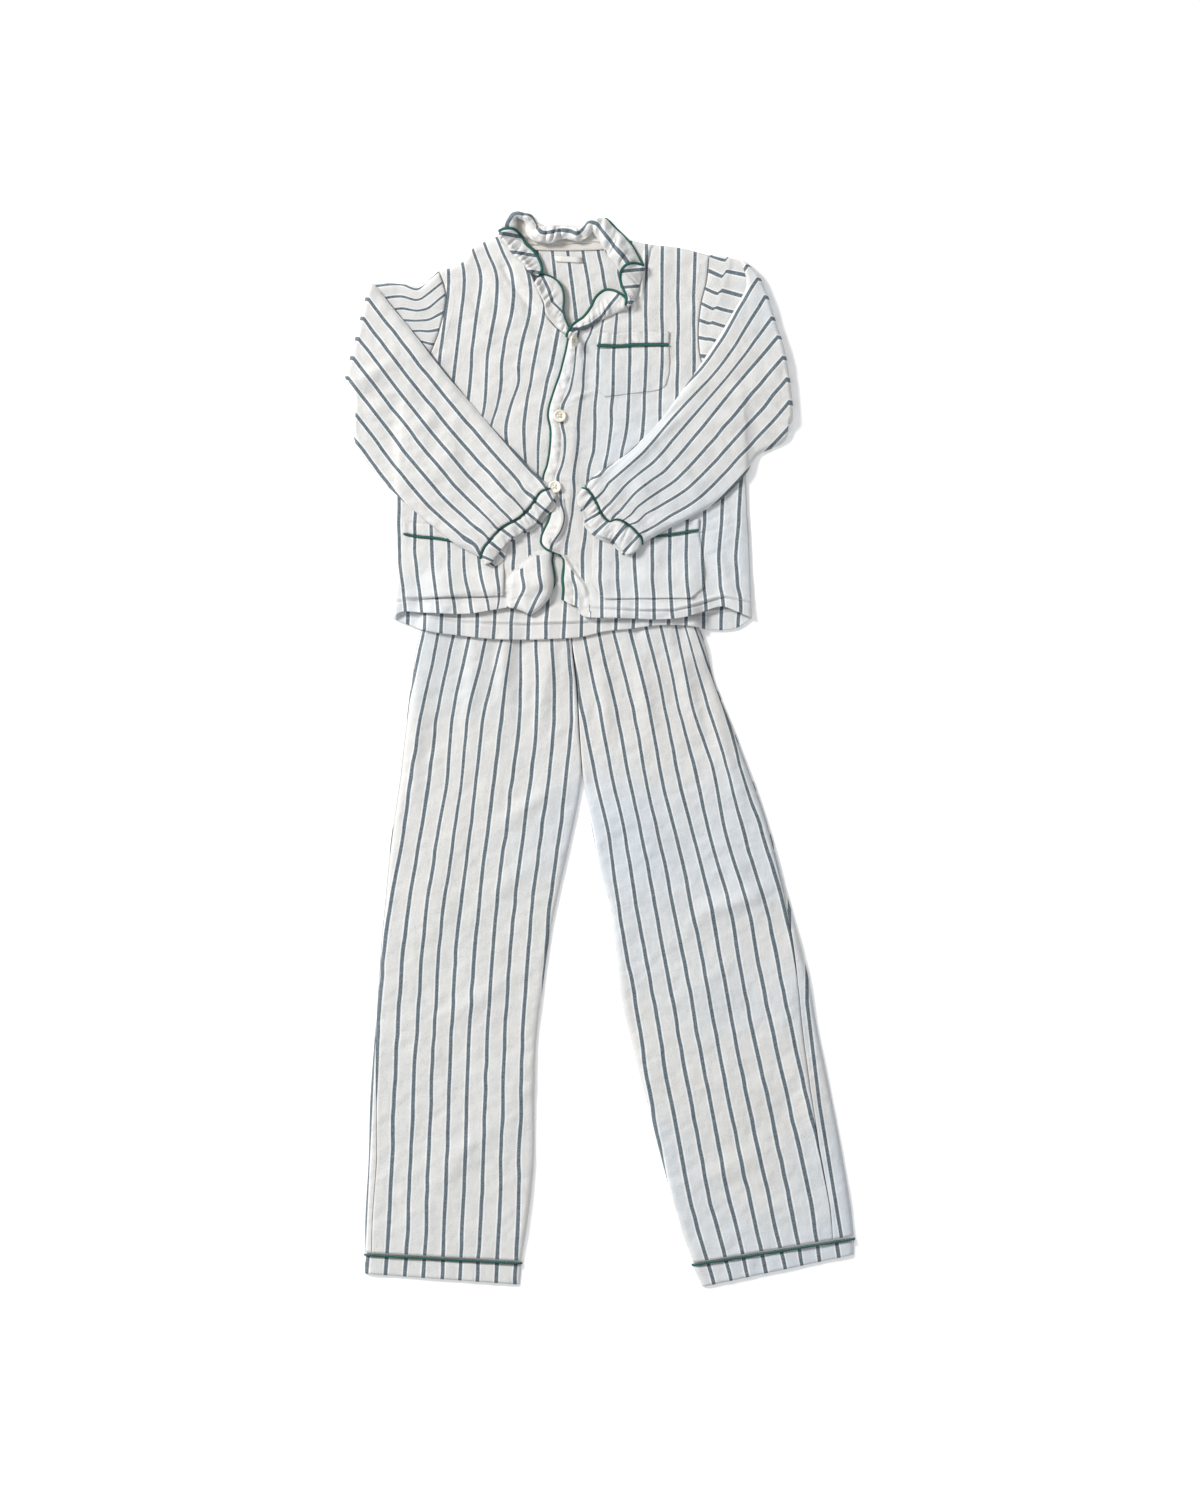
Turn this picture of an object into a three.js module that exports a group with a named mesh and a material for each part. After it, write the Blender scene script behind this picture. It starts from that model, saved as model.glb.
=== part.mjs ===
import * as THREE from "three";

// Sizes in millimetres: X to the right, Y towards the collar, Z up from the floor.
const CLOTH = 1.2;
const HALF = CLOTH / 2;
const GAP = 0.3;
const LAYER = CLOTH + GAP;
const SEAM = 0.25;
const PIPE_WIDE = 1.5;
const PIPE_HIGH = 0.9;
const BUTTON_RADIUS = 7.5;
const BUTTON_THICK = 2.6;
const BUTTON_HOLE = 0.95;
const BUTTON_HOLE_PITCH = 1.9;

// Height map of the pieces below
const CELL = 2;
const MAP_LEFT = -330;
const MAP_BOTTOM = -670;
const MAP_COLUMNS = 330;
const MAP_ROWS = 670;

const group = new THREE.Group();
group.name = "pyjama_set";
const tops = {};

function lerp(a, b, t) {
  return a + (b - a) * t;
}

// Smooth line through the points, sampled evenly along its length
function curve(points, count) {
  const line = new THREE.CatmullRomCurve3(
    points.map((p) => new THREE.Vector3(p[0], p[1], p[2] || 0)), false, "centripetal");
  line.arcLengthDivisions = 300;
  return line.getSpacedPoints(count - 1).map((v) => [v.x, v.y, v.z]);
}

// Line moved sideways in its own plane; positive is to the left of its direction
function shifted(line, distance) {
  return line.map((p, i) => {
    const a = line[Math.max(i - 1, 0)];
    const b = line[Math.min(i + 1, line.length - 1)];
    const dx = b[0] - a[0];
    const dy = b[1] - a[1];
    const length = Math.hypot(dx, dy) || 1;
    return [p[0] - dy / length * distance, p[1] + dx / length * distance, p[2] || 0];
  });
}

// Same line with its two ends moved to the given points
function tied(line, start, end) {
  return [start, ...line.slice(1, -1), end];
}

// Patch between four sides, each already sampled; rows run from bottom to top
function patch(lowSide, highSide, left, right) {
  const rows = left.length;
  const bottom = tied(lowSide, left[0], right[0]);
  const top = tied(highSide, left[rows - 1], right[rows - 1]);
  const columns = bottom.length;
  const grid = [];
  for (let j = 0; j < rows; j += 1) {
    const v = j / (rows - 1);
    const row = [];
    for (let i = 0; i < columns; i += 1) {
      const u = i / (columns - 1);
      const point = [0, 1].map((k) => {
        const along = lerp(bottom[i][k], top[i][k], v);
        const across = lerp(left[j][k], right[j][k], u);
        const corners = lerp(
          lerp(bottom[0][k], bottom[columns - 1][k], u),
          lerp(top[0][k], top[columns - 1][k], u), v);
        return along + across - corners;
      });
      row.push([point[0], point[1], 0]);
    }
    grid.push(row);
  }
  return grid;
}

// Sheet between two sampled lines
function between(first, second, columns) {
  return first.map((a, j) => {
    const b = second[j];
    const row = [];
    for (let i = 0; i < columns; i += 1) {
      const u = i / (columns - 1);
      row.push([lerp(a[0], b[0], u), lerp(a[1], b[1], u), 0]);
    }
    return row;
  });
}

function cellOf(x, y) {
  return [Math.floor((x - MAP_LEFT) / CELL), Math.floor((y - MAP_BOTTOM) / CELL)];
}

// Calls back with every map cell a triangle may touch and the plane's span of heights there
function overCells(a, b, c, each) {
  const low = cellOf(Math.min(a[0], b[0], c[0]) - CELL, Math.min(a[1], b[1], c[1]) - CELL);
  const high = cellOf(Math.max(a[0], b[0], c[0]) + CELL, Math.max(a[1], b[1], c[1]) + CELL);
  const area = (b[0] - a[0]) * (c[1] - a[1]) - (c[0] - a[0]) * (b[1] - a[1]);
  const bottom = Math.min(a[2], b[2], c[2]);
  const top = Math.max(a[2], b[2], c[2]);
  const steep = Math.abs(area) < 0.02;
  const sides = [[a, b], [b, c], [c, a]];
  const turn = area > 0 ? 1 : -1;
  for (let j = low[1]; j <= high[1]; j += 1) {
    for (let i = low[0]; i <= high[0]; i += 1) {
      const x = MAP_LEFT + (i + 0.5) * CELL;
      const y = MAP_BOTTOM + (j + 0.5) * CELL;
      let inside = true;
      if (!steep) {
        for (const [p, q] of sides) {
          const dx = q[0] - p[0];
          const dy = q[1] - p[1];
          const away = turn * (dx * (y - p[1]) - dy * (x - p[0])) / (Math.hypot(dx, dy) || 1);
          if (away < -CELL * 0.75) {
            inside = false;
            break;
          }
        }
      }
      if (!inside) {
        continue;
      }
      let least = top;
      let most = bottom;
      if (steep) {
        least = bottom;
        most = top;
      } else {
        for (const [sx, sy] of [[-1, -1], [1, -1], [-1, 1], [1, 1]]) {
          const px = x + sx * CELL / 2;
          const py = y + sy * CELL / 2;
          const u = ((px - a[0]) * (c[1] - a[1]) - (c[0] - a[0]) * (py - a[1])) / area;
          const v = ((b[0] - a[0]) * (py - a[1]) - (px - a[0]) * (b[1] - a[1])) / area;
          const z = a[2] + u * (b[2] - a[2]) + v * (c[2] - a[2]);
          least = Math.min(least, z);
          most = Math.max(most, z);
        }
        least = Math.max(least, bottom);
        most = Math.min(most, top);
      }
      each(j * MAP_COLUMNS + i, least, most);
    }
  }
}

function stamp(name, positions, index) {
  const map = new Float32Array(MAP_COLUMNS * MAP_ROWS).fill(-1);
  const at = (k) => [positions[3 * k], positions[3 * k + 1], positions[3 * k + 2]];
  for (let t = 0; t < index.length; t += 3) {
    overCells(at(index[t]), at(index[t + 1]), at(index[t + 2]), (cell, least, most) => {
      map[cell] = Math.max(map[cell], most);
    });
  }
  tops[name] = map;
}

// Highest surface of the named pieces; the floor is at zero
function ground(names) {
  const map = new Float32Array(MAP_COLUMNS * MAP_ROWS);
  for (const name of names) {
    const top = tops[name];
    for (let k = 0; k < map.length; k += 1) {
      map[k] = Math.max(map[k], top[k]);
    }
  }
  return map;
}

// Lays the middle of a sheet on what is below it, clear of it over every triangle
function lay(grid, names, loft) {
  const map = ground(names);
  grid.forEach((row) => row.forEach((p) => {
    p[2] = HALF;
  }));
  const lifts = grid.map((row) => row.map(() => 0));
  const spread = (corners) => {
    let below = 0;
    overCells(grid[corners[0][0]][corners[0][1]], grid[corners[1][0]][corners[1][1]],
      grid[corners[2][0]][corners[2][1]], (cell) => {
        below = Math.max(below, map[cell]);
      });
    corners.forEach(([j, i]) => {
      lifts[j][i] = Math.max(lifts[j][i], below);
    });
  };
  for (let j = 0; j + 1 < grid.length; j += 1) {
    for (let i = 0; i + 1 < grid[j].length; i += 1) {
      spread([[j, i], [j, i + 1], [j + 1, i + 1]]);
      spread([[j, i], [j + 1, i + 1], [j + 1, i]]);
    }
  }
  grid.forEach((row, j) => row.forEach((p, i) => {
    const rest = lifts[j][i] > 0 ? lifts[j][i] + GAP : 0;
    p[2] = rest + HALF + (loft ? loft(i / (row.length - 1), j / (grid.length - 1), p) : 0);
  }));
  return grid;
}

function addSolid(name, positions, index, color, roughness) {
  const geometry = new THREE.BufferGeometry();
  geometry.setAttribute("position", new THREE.Float32BufferAttribute(positions, 3));
  geometry.setIndex(index);
  geometry.computeVertexNormals();
  const material = new THREE.MeshStandardMaterial({ color, roughness });
  const mesh = new THREE.Mesh(geometry, material);
  mesh.name = name;
  group.add(mesh);
  stamp(name, positions, index);
  return mesh;
}

function signedVolume(positions, index) {
  let sum = 0;
  for (let t = 0; t < index.length; t += 3) {
    const [a, b, c] = [index[t], index[t + 1], index[t + 2]].map(
      (k) => [positions[3 * k], positions[3 * k + 1], positions[3 * k + 2]]);
    sum += a[0] * (b[1] * c[2] - b[2] * c[1]) - a[1] * (b[0] * c[2] - b[2] * c[0])
      + a[2] * (b[0] * c[1] - b[1] * c[0]);
  }
  return sum / 6;
}

function outwards(positions, index) {
  if (signedVolume(positions, index) < 0) {
    for (let t = 0; t < index.length; t += 3) {
      [index[t + 1], index[t + 2]] = [index[t + 2], index[t + 1]];
    }
  }
}

// Solid of even wall from a grid of middle points and the direction of its outer face
function wall(name, grid, normals, ring, color) {
  const rows = grid.length;
  const columns = grid[0].length;
  const positions = [];
  for (const side of [1, -1]) {
    for (let j = 0; j < rows; j += 1) {
      for (let i = 0; i < columns; i += 1) {
        const p = grid[j][i];
        const n = normals[j][i];
        positions.push(p[0] + side * HALF * n[0], p[1] + side * HALF * n[1], p[2] + side * HALF * n[2]);
      }
    }
  }
  const index = [];
  const at = (side, j, i) => side * rows * columns + j * columns + (i % columns);
  const quad = (a, b, c, d) => index.push(a, b, c, a, c, d);
  const last = ring ? columns : columns - 1;
  for (let j = 0; j + 1 < rows; j += 1) {
    for (let i = 0; i < last; i += 1) {
      quad(at(0, j, i), at(0, j, i + 1), at(0, j + 1, i + 1), at(0, j + 1, i));
      quad(at(1, j, i), at(1, j + 1, i), at(1, j + 1, i + 1), at(1, j, i + 1));
    }
  }
  for (let i = 0; i < last; i += 1) {
    quad(at(0, 0, i), at(1, 0, i), at(1, 0, i + 1), at(0, 0, i + 1));
    quad(at(0, rows - 1, i), at(0, rows - 1, i + 1), at(1, rows - 1, i + 1), at(1, rows - 1, i));
  }
  if (!ring) {
    for (let j = 0; j + 1 < rows; j += 1) {
      quad(at(0, j, 0), at(0, j + 1, 0), at(1, j + 1, 0), at(1, j, 0));
      quad(at(0, j, columns - 1), at(1, j, columns - 1), at(1, j + 1, columns - 1), at(0, j + 1, columns - 1));
    }
  }
  outwards(positions, index);
  return addSolid(name, positions, index, color, 0.9);
}

function upright(grid) {
  return grid.map((row) => row.map(() => [0, 0, 1]));
}

// Flat sheet laid on the named pieces
function sheet(name, grid, names, loft, color) {
  lay(grid, names, loft);
  return wall(name, grid, upright(grid), false, color);
}

// Surface normals of a grid, for sheets that stand or roll
function normalsOf(grid) {
  const rows = grid.length;
  const columns = grid[0].length;
  return grid.map((row, j) => row.map((p, i) => {
    const a = grid[Math.max(j - 1, 0)][i];
    const b = grid[Math.min(j + 1, rows - 1)][i];
    const c = grid[j][Math.max(i - 1, 0)];
    const d = grid[j][Math.min(i + 1, columns - 1)];
    const u = [b[0] - a[0], b[1] - a[1], b[2] - a[2]];
    const v = [d[0] - c[0], d[1] - c[1], d[2] - c[2]];
    const n = [v[1] * u[2] - v[2] * u[1], v[2] * u[0] - v[0] * u[2], v[0] * u[1] - v[1] * u[0]];
    const length = Math.hypot(n[0], n[1], n[2]) || 1;
    return n.map((value) => value / length);
  }));
}

// One ring of a flattened tube from its two layers
function ringRow(near, far, nearNormal, farNormal) {
  const count = near.length;
  const points = [];
  const normals = [];
  const turn = (k, inner) => {
    const a = near[k];
    const b = far[k];
    const c = near[inner];
    let e = [a[0] - c[0], a[1] - c[1], 0];
    const length = Math.hypot(e[0], e[1]) || 1;
    e = e.map((value) => value / length);
    const half = Math.hypot(a[0] - b[0], a[1] - b[1], a[2] - b[2]) / 2;
    points.push([
      (a[0] + b[0]) / 2 + e[0] * half, (a[1] + b[1]) / 2 + e[1] * half, (a[2] + b[2]) / 2]);
    normals.push(e);
  };
  for (let i = 0; i < count; i += 1) {
    points.push(near[i]);
    normals.push(nearNormal);
  }
  turn(count - 1, count - 2);
  for (let i = count - 1; i >= 0; i -= 1) {
    points.push(far[i]);
    normals.push(farNormal);
  }
  turn(0, 1);
  return [points, normals];
}

function raised(row, height) {
  return row.map((p) => [p[0], p[1], p[2] + height]);
}

// Short flattened tube: a lower layer laid down and an upper layer over it
function band(name, grid, names, loft, color) {
  lay(grid, names, null);
  const points = [];
  const normals = [];
  const rows = grid.length;
  const columns = grid[0].length;
  grid.forEach((row, j) => {
    const top = row.map((p, i) => {
      const u = i / (columns - 1);
      return [p[0], p[1], p[2] + LAYER + loft * Math.sin(Math.PI * u)];
    });
    const [ring, facing] = ringRow(top, row, [0, 0, 1], [0, 0, -1]);
    points.push(ring);
    normals.push(facing);
  });
  return wall(name, points, normals, true, color);
}

// Sleeve: from the armhole out to its fold, turned over, then across the front to the wrist
function foldedSleeve(name, cap, arm, capNames, armNames, color) {
  lay(cap, capNames, null);
  const capTop = cap.map((row, j) => row.map((p, i) => {
    const u = i / (row.length - 1);
    return [p[0], p[1], p[2] + LAYER + 0.9 * Math.sin(Math.PI * u)];
  }));
  const scratch = [];
  const scratchIndex = [];
  capTop.forEach((row) => row.forEach((p) => scratch.push(p[0], p[1], p[2] + HALF)));
  const columns = cap[0].length;
  for (let j = 0; j + 1 < cap.length; j += 1) {
    for (let i = 0; i + 1 < columns; i += 1) {
      const k = j * columns + i;
      scratchIndex.push(k, k + 1, k + columns + 1, k, k + columns + 1, k + columns);
    }
  }
  stamp(name + "_cap", scratch, scratchIndex);
  lay(arm, armNames.concat(name + "_cap"), null);
  const armTop = arm.map((row, j) => row.map((p, i) => {
    const u = i / (row.length - 1);
    return [p[0], p[1], p[2] + LAYER + 1.2 * Math.sin(Math.PI * u)];
  }));
  const points = [];
  const normals = [];
  const push = (near, far, nearNormal, farNormal) => {
    const [ring, facing] = ringRow(near, far, nearNormal, farNormal);
    points.push(ring);
    normals.push(facing);
  };
  for (let j = 0; j < cap.length; j += 1) {
    push(capTop[j], cap[j], [0, 0, 1], [0, 0, -1]);
  }
  const end = cap.length - 1;
  const foldA = cap[end][0];
  const foldB = cap[end][columns - 1];
  const along = [foldB[0] - foldA[0], foldB[1] - foldA[1]];
  const size = Math.hypot(along[0], along[1]);
  let out = [along[1] / size, -along[0] / size];
  const inwards = [cap[end - 1][2][0] - cap[end][2][0], cap[end - 1][2][1] - cap[end][2][1]];
  if (out[0] * inwards[0] + out[1] * inwards[1] > 0) {
    out = [-out[0], -out[1]];
  }
  for (const angle of [-0.5, 0, 0.5]) {
    const c = Math.cos(angle * Math.PI / 2 * 1.15);
    const s = Math.sin(angle * Math.PI / 2 * 1.15);
    const bend = (low, high) => low.map((p, i) => {
      const q = high[i];
      const radius = (q[2] - p[2]) / 2;
      return [p[0] + out[0] * radius * c, p[1] + out[1] * radius * c, (p[2] + q[2]) / 2 + radius * s];
    });
    push(
      bend(capTop[end], arm[0]), bend(cap[end], armTop[0]),
      [-out[0] * c, -out[1] * c, -s], [out[0] * c, out[1] * c, s]);
  }
  for (let j = 0; j < arm.length; j += 1) {
    push(arm[j], armTop[j], [0, 0, -1], [0, 0, 1]);
  }
  return wall(name, points, normals, true, color);
}

// Oval cord along a path; the side direction is level unless one is given
function cord(name, path, closed, side, color) {
  const count = path.length;
  const sides = 6;
  const positions = [];
  for (let k = 0; k < count; k += 1) {
    const a = closed ? path[(k + count - 1) % count] : path[Math.max(k - 1, 0)];
    const b = closed ? path[(k + 1) % count] : path[Math.min(k + 1, count - 1)];
    const t = new THREE.Vector3(b[0] - a[0], b[1] - a[1], b[2] - a[2]).normalize();
    const w = side ? new THREE.Vector3(...side) : new THREE.Vector3(-t.y, t.x, 0).normalize();
    const n = new THREE.Vector3().crossVectors(t, w).normalize();
    for (let s = 0; s < sides; s += 1) {
      const angle = 2 * Math.PI * (s + 0.5) / sides;
      const c = Math.cos(angle) * PIPE_WIDE;
      const d = Math.sin(angle) * PIPE_HIGH;
      positions.push(
        path[k][0] + w.x * c + n.x * d, path[k][1] + w.y * c + n.y * d, path[k][2] + w.z * c + n.z * d);
    }
  }
  const index = [];
  const spans = closed ? count : count - 1;
  for (let k = 0; k < spans; k += 1) {
    const next = (k + 1) % count;
    for (let s = 0; s < sides; s += 1) {
      const r = (s + 1) % sides;
      index.push(
        k * sides + s, k * sides + r, next * sides + r, k * sides + s, next * sides + r, next * sides + s);
    }
  }
  if (!closed) {
    for (let s = 1; s + 1 < sides; s += 1) {
      const far = (count - 1) * sides;
      index.push(0, s + 1, s, far, far + s, far + s + 1);
    }
  }
  outwards(positions, index);
  return addSolid(name, positions, index, color, 0.7);
}

// Rests a cord's path on the named pieces
function rested(path, names, loft) {
  const map = ground(names);
  const reach = 2;
  return path.map((p, k) => {
    let below = 0;
    for (const q of [path[Math.max(k - 1, 0)], p, path[Math.min(k + 1, path.length - 1)]]) {
      for (const t of [0, 0.25, 0.5, 0.75]) {
        const [ci, cj] = cellOf(lerp(p[0], q[0], t), lerp(p[1], q[1], t));
        for (let dj = -reach; dj <= reach; dj += 1) {
          for (let di = -reach; di <= reach; di += 1) {
            below = Math.max(below, map[(cj + dj) * MAP_COLUMNS + ci + di]);
          }
        }
      }
    }
    const extra = loft ? loft(k / (path.length - 1)) : 0;
    return [p[0], p[1], (below > 0 ? below + GAP : 0) + PIPE_HIGH + extra];
  });
}

// Cord round a flattened tube, along a line across it
function cordRound(name, line, names, side, color) {
  const bottom = rested(line, names, null);
  const top = raised(bottom, 2 * PIPE_HIGH + GAP);
  const half = PIPE_HIGH + GAP / 2;
  const ends = [0, line.length - 1].map((k) => {
    const inner = line[k === 0 ? 1 : line.length - 2];
    const dx = line[k][0] - inner[0];
    const dy = line[k][1] - inner[1];
    const length = Math.hypot(dx, dy);
    return [line[k][0] + dx / length * half, line[k][1] + dy / length * half, bottom[k][2] + half];
  });
  const path = top.concat([ends[1]], bottom.slice().reverse(), [ends[0]]);
  return cord(name, path, true, side, color);
}

const STRIPE_CLOTH = 0xe4dfda;
const STRIPE_CLOTH_BACK = 0xd6d4d2;
const PIPING = 0x1f5f55;
const SHELL = 0xeee6d2;
const LABEL = 0xf4f2ec;

// Trouser legs: outer edge, inner edge, and how far the back wraps over the side
// columns: outer x, outer y, inner x, inner y, wrap
const LEG_RIGHT = [
  [-204, 169, -35, 169, 0],
  [-218, 132, -34, 132, 0],
  [-226, 79, -28, 79, 0],
  [-233, 24, -25, 24, 0],
  [-240, -36, -22, -36, 0],
  [-247, -84, -31, -86, 0],
  [-253, -132, -42, -136, 0],
  [-258, -186, -54, -190, 0],
  [-262, -228, -62, -233, 0],
  [-266, -288, -70, -293, 0],
  [-270, -348, -77, -354, 1],
  [-275, -420, -79, -426, 7],
  [-277, -492, -80, -499, 9],
  [-281, -564, -88, -572, 8],
  [-281, -602, -95, -612, 7],
];
const LEG_LEFT = [
  [108, 169, -35, 169, 0],
  [124, 132, -34, 132, 0],
  [137, 82, -28, 79, 0],
  [157, 31, -25, 24, 0],
  [180, -30, -20, -38, 0],
  [196, -74, -11, -86, 0],
  [210, -122, -1, -138, 1],
  [224, -175, 13, -192, 2],
  [238, -226, 20, -246, 7],
  [250, -276, 26, -300, 13],
  [260, -334, 41, -362, 17],
  [274, -402, 59, -432, 22],
  [288, -474, 77, -502, 25],
  [300, -546, 97, -574, 24],
  [304, -582, 112, -614, 25],
];
const WAIST_TOP = 200;
const CROTCH = -38;

function legLines(table, rows) {
  const outer = curve(table.map((r) => [r[0], r[1], 0]), rows);
  const inner = curve(table.map((r) => [r[2], r[3], 0]), rows);
  const wrapAt = (y) => {
    for (let k = 0; k + 1 < table.length; k += 1) {
      const a = table[k];
      const b = table[k + 1];
      if (y <= a[1] && y >= b[1]) {
        return lerp(a[4], b[4], (a[1] - y) / (a[1] - b[1]));
      }
    }
    return table[table.length - 1][4];
  };
  const wrap = outer.map((p) => wrapAt(p[1]));
  return { outer, inner, wrap };
}

// Legs stop short of the centre seam by half a seam, above the crotch
function leg(side, table) {
  const rows = 23;
  const columns = 7;
  const lines = legLines(table, rows);
  const sign = side === "right" ? -1 : 1;
  const inner = lines.inner.map((p) => [p[0] + (p[1] > CROTCH - 30 ? sign * SEAM : 0), p[1], 0]);
  const lower = between(lines.outer, inner, columns);
  lay(lower, [], null);
  const points = [];
  const normals = [];
  const seams = [];
  lower.forEach((row, j) => {
    const edge = row[0];
    const away = [row[0][0] - row[1][0], row[0][1] - row[1][1]];
    const length = Math.hypot(away[0], away[1]);
    const e = [away[0] / length, away[1] / length, 0];
    const turn = LAYER / 2 + 0.05;
    const wrap = Math.max(lines.wrap[j], 0.3);
    const seam = [edge[0] - e[0] * wrap, edge[1] - e[1] * wrap, edge[2] + LAYER + 0.1];
    seams.push([seam[0] - e[0] * 2 * SEAM, seam[1] - e[1] * 2 * SEAM, 0]);
    points.push([
      seam,
      [edge[0] + e[0] * 0.1, edge[1] + e[1] * 0.1, edge[2] + LAYER + 0.1],
      [edge[0] + e[0] * turn, edge[1] + e[1] * turn, edge[2] + turn],
      edge,
    ].concat(row.slice(1)));
    normals.push([[0, 0, 1], [0, 0, 1], e, [0, 0, -1]].concat(row.slice(1).map(() => [0, 0, -1])));
  });
  wall("trouser_back_" + side, points, normals, false, STRIPE_CLOTH_BACK);
  const upper = between(seams, inner, columns);
  upper.forEach((row) => row.forEach((p, i) => {
    const u = i / (columns - 1);
    p[2] = HALF + LAYER + 0.1 + 1.4 * Math.sin(Math.PI * u);
  }));
  wall("trouser_front_" + side, upper, upright(upper), false, STRIPE_CLOTH);
}

leg("right", LEG_RIGHT);
leg("left", LEG_LEFT);

band("waistband", between(
  [[-203, 170 + 2 * SEAM, 0], [-202, 185, 0], [-200, WAIST_TOP, 0]],
  [[106, 170 + 2 * SEAM, 0], [105, 185, 0], [104, WAIST_TOP, 0]], 14), [], 1.2, STRIPE_CLOTH);

// Turned hems of the legs, with the cord above them
const HEM_RIGHT = { high: [[-281, -607, 0], [-95, -617, 0]], low: [[-281, -628, 0], [-97, -641, 0]] };
const HEM_LEFT = { high: [[304, -588, 0], [112, -619, 0]], low: [[304, -605, 0], [124, -643.5, 0]] };

function hem(side, table, upRise) {
  const columns = 9;
  const high = curve(table.high, columns);
  const low = curve(table.low, columns);
  const grid = [0, 0.5, 1].map((t) => high.map((p, i) => [
    lerp(p[0], low[i][0], t), lerp(p[1], low[i][1], t), 0]));
  band("hem_band_" + side, grid, [], 0.8, STRIPE_CLOTH);
  const line = high.map((p) => [p[0], p[1] + PIPE_WIDE + GAP, 0]);
  cordRound("hem_piping_" + side, line, [], upRise, PIPING);
}

hem("right", HEM_RIGHT, [0, 1, 0]);
hem("left", HEM_LEFT, [0, 1, 0]);

const TROUSERS = [
  "trouser_back_right", "trouser_back_left", "trouser_front_right", "trouser_front_left", "waistband"];

// Jacket outline, columns: x, y
const ARM_RIGHT = [[-235, 425], [-216, 450], [-202, 479], [-191, 510], [-185, 546], [-193, 574]];
const ARM_LEFT = [[170, 430], [146, 438], [124, 461], [118, 493], [121, 533], [128, 563], [131, 593]];
const SIDE_RIGHT = [[-248, 157], [-245, 192], [-244, 228], [-244, 300], [-241, 360], [-235, 425]];
const SIDE_LEFT = [[182, 158], [181, 192], [179, 246], [176, 300], [174, 372], [170, 430]];
const BACK_HEM = [
  [-248, 157], [-209, 143], [-168, 137], [-130, 133], [-92, 132], [-54, 133], [-24, 135], [7, 142],
  [37, 145], [67, 149], [103, 149], [134, 144], [163, 146], [182, 158]];
const BACK_TOP = [
  [-193, 574], [-169, 580], [-146, 598], [-124, 606], [-104, 604], [-84, 601], [-36, 600], [0, 601],
  [26, 603], [54, 605], [95, 600], [131, 593]];
const FRONT_HEM_RIGHT = [
  [-248, 158], [-239, 165], [-206, 164], [-157, 163], [-126, 167], [-101, 167], [-86, 163], [-74, 168]];
const FRONT_TOP_RIGHT = [[-193, 574], [-174, 580], [-163, 587], [-152, 602], [-137, 610], [-121, 616]];
const EDGE_RIGHT = [
  [-74, 168], [-64, 180], [-59, 194], [-57, 212], [-55, 240], [-46, 270], [-38, 316], [-32, 396],
  [-26, 440], [-27, 470], [-38, 496]];
const ROLL_RIGHT = [
  [-38, 496], [-53, 506], [-64, 520], [-68, 535], [-72, 545], [-77, 556], [-84, 572], [-92, 583],
  [-107, 599], [-121, 616]];
const EDGE_LEFT = [
  [-44, 180], [-43, 193], [-44, 218], [-47, 235], [-62, 241], [-69, 252], [-64, 272], [-59, 283],
  [-62, 300], [-67, 324], [-63, 353], [-61, 391], [-60, 420], [-48, 449], [-42, 473], [-37, 500]];
const NECK_LEFT = [
  [-37, 500], [-14, 513], [6, 527], [19, 541], [26, 556], [22, 570], [12, 588], [4, 606], [14, 612]];
const FRONT_HEM_LEFT = [
  [-44, 180], [-33, 172], [-24, 168], [-16, 163], [7, 160], [40, 157], [67, 156], [97, 158],
  [119, 164], [146, 172], [161, 167], [182, 158]];
const FRONT_TOP_LEFT = [[14, 612], [36, 611], [60, 606], [95, 602], [131, 593]];

const ARM_ROWS = 8;
const SIDE_ROWS = 13;

function joined(first, second, firstCount, secondCount) {
  return curve(first, firstCount).concat(curve(second, secondCount).slice(1));
}

// Right and left are the wearer's, so the right side is at the left of the picture
const backRightLine = joined(SIDE_RIGHT, ARM_RIGHT, SIDE_ROWS, ARM_ROWS);
const backLeftLine = joined(SIDE_LEFT, ARM_LEFT, SIDE_ROWS, ARM_ROWS);
const BACK_COLUMNS = 18;
sheet("jacket_back", patch(
  curve(BACK_HEM, BACK_COLUMNS), curve(BACK_TOP, BACK_COLUMNS),
  shifted(backRightLine, -SEAM), shifted(backLeftLine, SEAM)), TROUSERS, null, STRIPE_CLOTH_BACK);

// Plain band across the inside of the back neck, and a bare label below it
sheet("neck_binding", between(
  curve([[-95, 602, 0], [-84, 600, 0], [-36, 599, 0], [0, 600, 0], [8, 601, 0]], 9),
  curve([[-95, 610, 0], [-84, 609, 0], [-36, 608, 0], [0, 609, 0], [8, 610, 0]], 9), 3),
["jacket_back"], null, STRIPE_CLOTH);
sheet("neck_label", between(
  [[-55, 593, 0], [-38, 592, 0], [-22, 591, 0]],
  [[-54, 586, 0], [-38, 585, 0], [-21, 584, 0]], 3), ["jacket_back"], null, LABEL);

const EDGE_ROWS = 25;
const frontRightLine = joined(EDGE_RIGHT, ROLL_RIGHT, SIDE_ROWS, ARM_ROWS);
const FRONT_COLUMNS = 15;
sheet("jacket_front_right", patch(
  curve(FRONT_HEM_RIGHT, FRONT_COLUMNS), curve(FRONT_TOP_RIGHT, FRONT_COLUMNS),
  shifted(backRightLine, -SEAM), frontRightLine), TROUSERS.concat("jacket_back"), (u, v, p) => {
  const roll = Math.max(0, u - 0.7) / 0.3;
  const high = Math.min(Math.max((p[1] - 480) / 60, 0), 1);
  return 6 * roll * roll * high;
}, STRIPE_CLOTH);

cord("front_piping_right", rested(shifted(curve(EDGE_RIGHT, SIDE_ROWS), -PIPE_WIDE - GAP),
  ["jacket_back"], (t) => 1.2 * t), false, null, PIPING);

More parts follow.
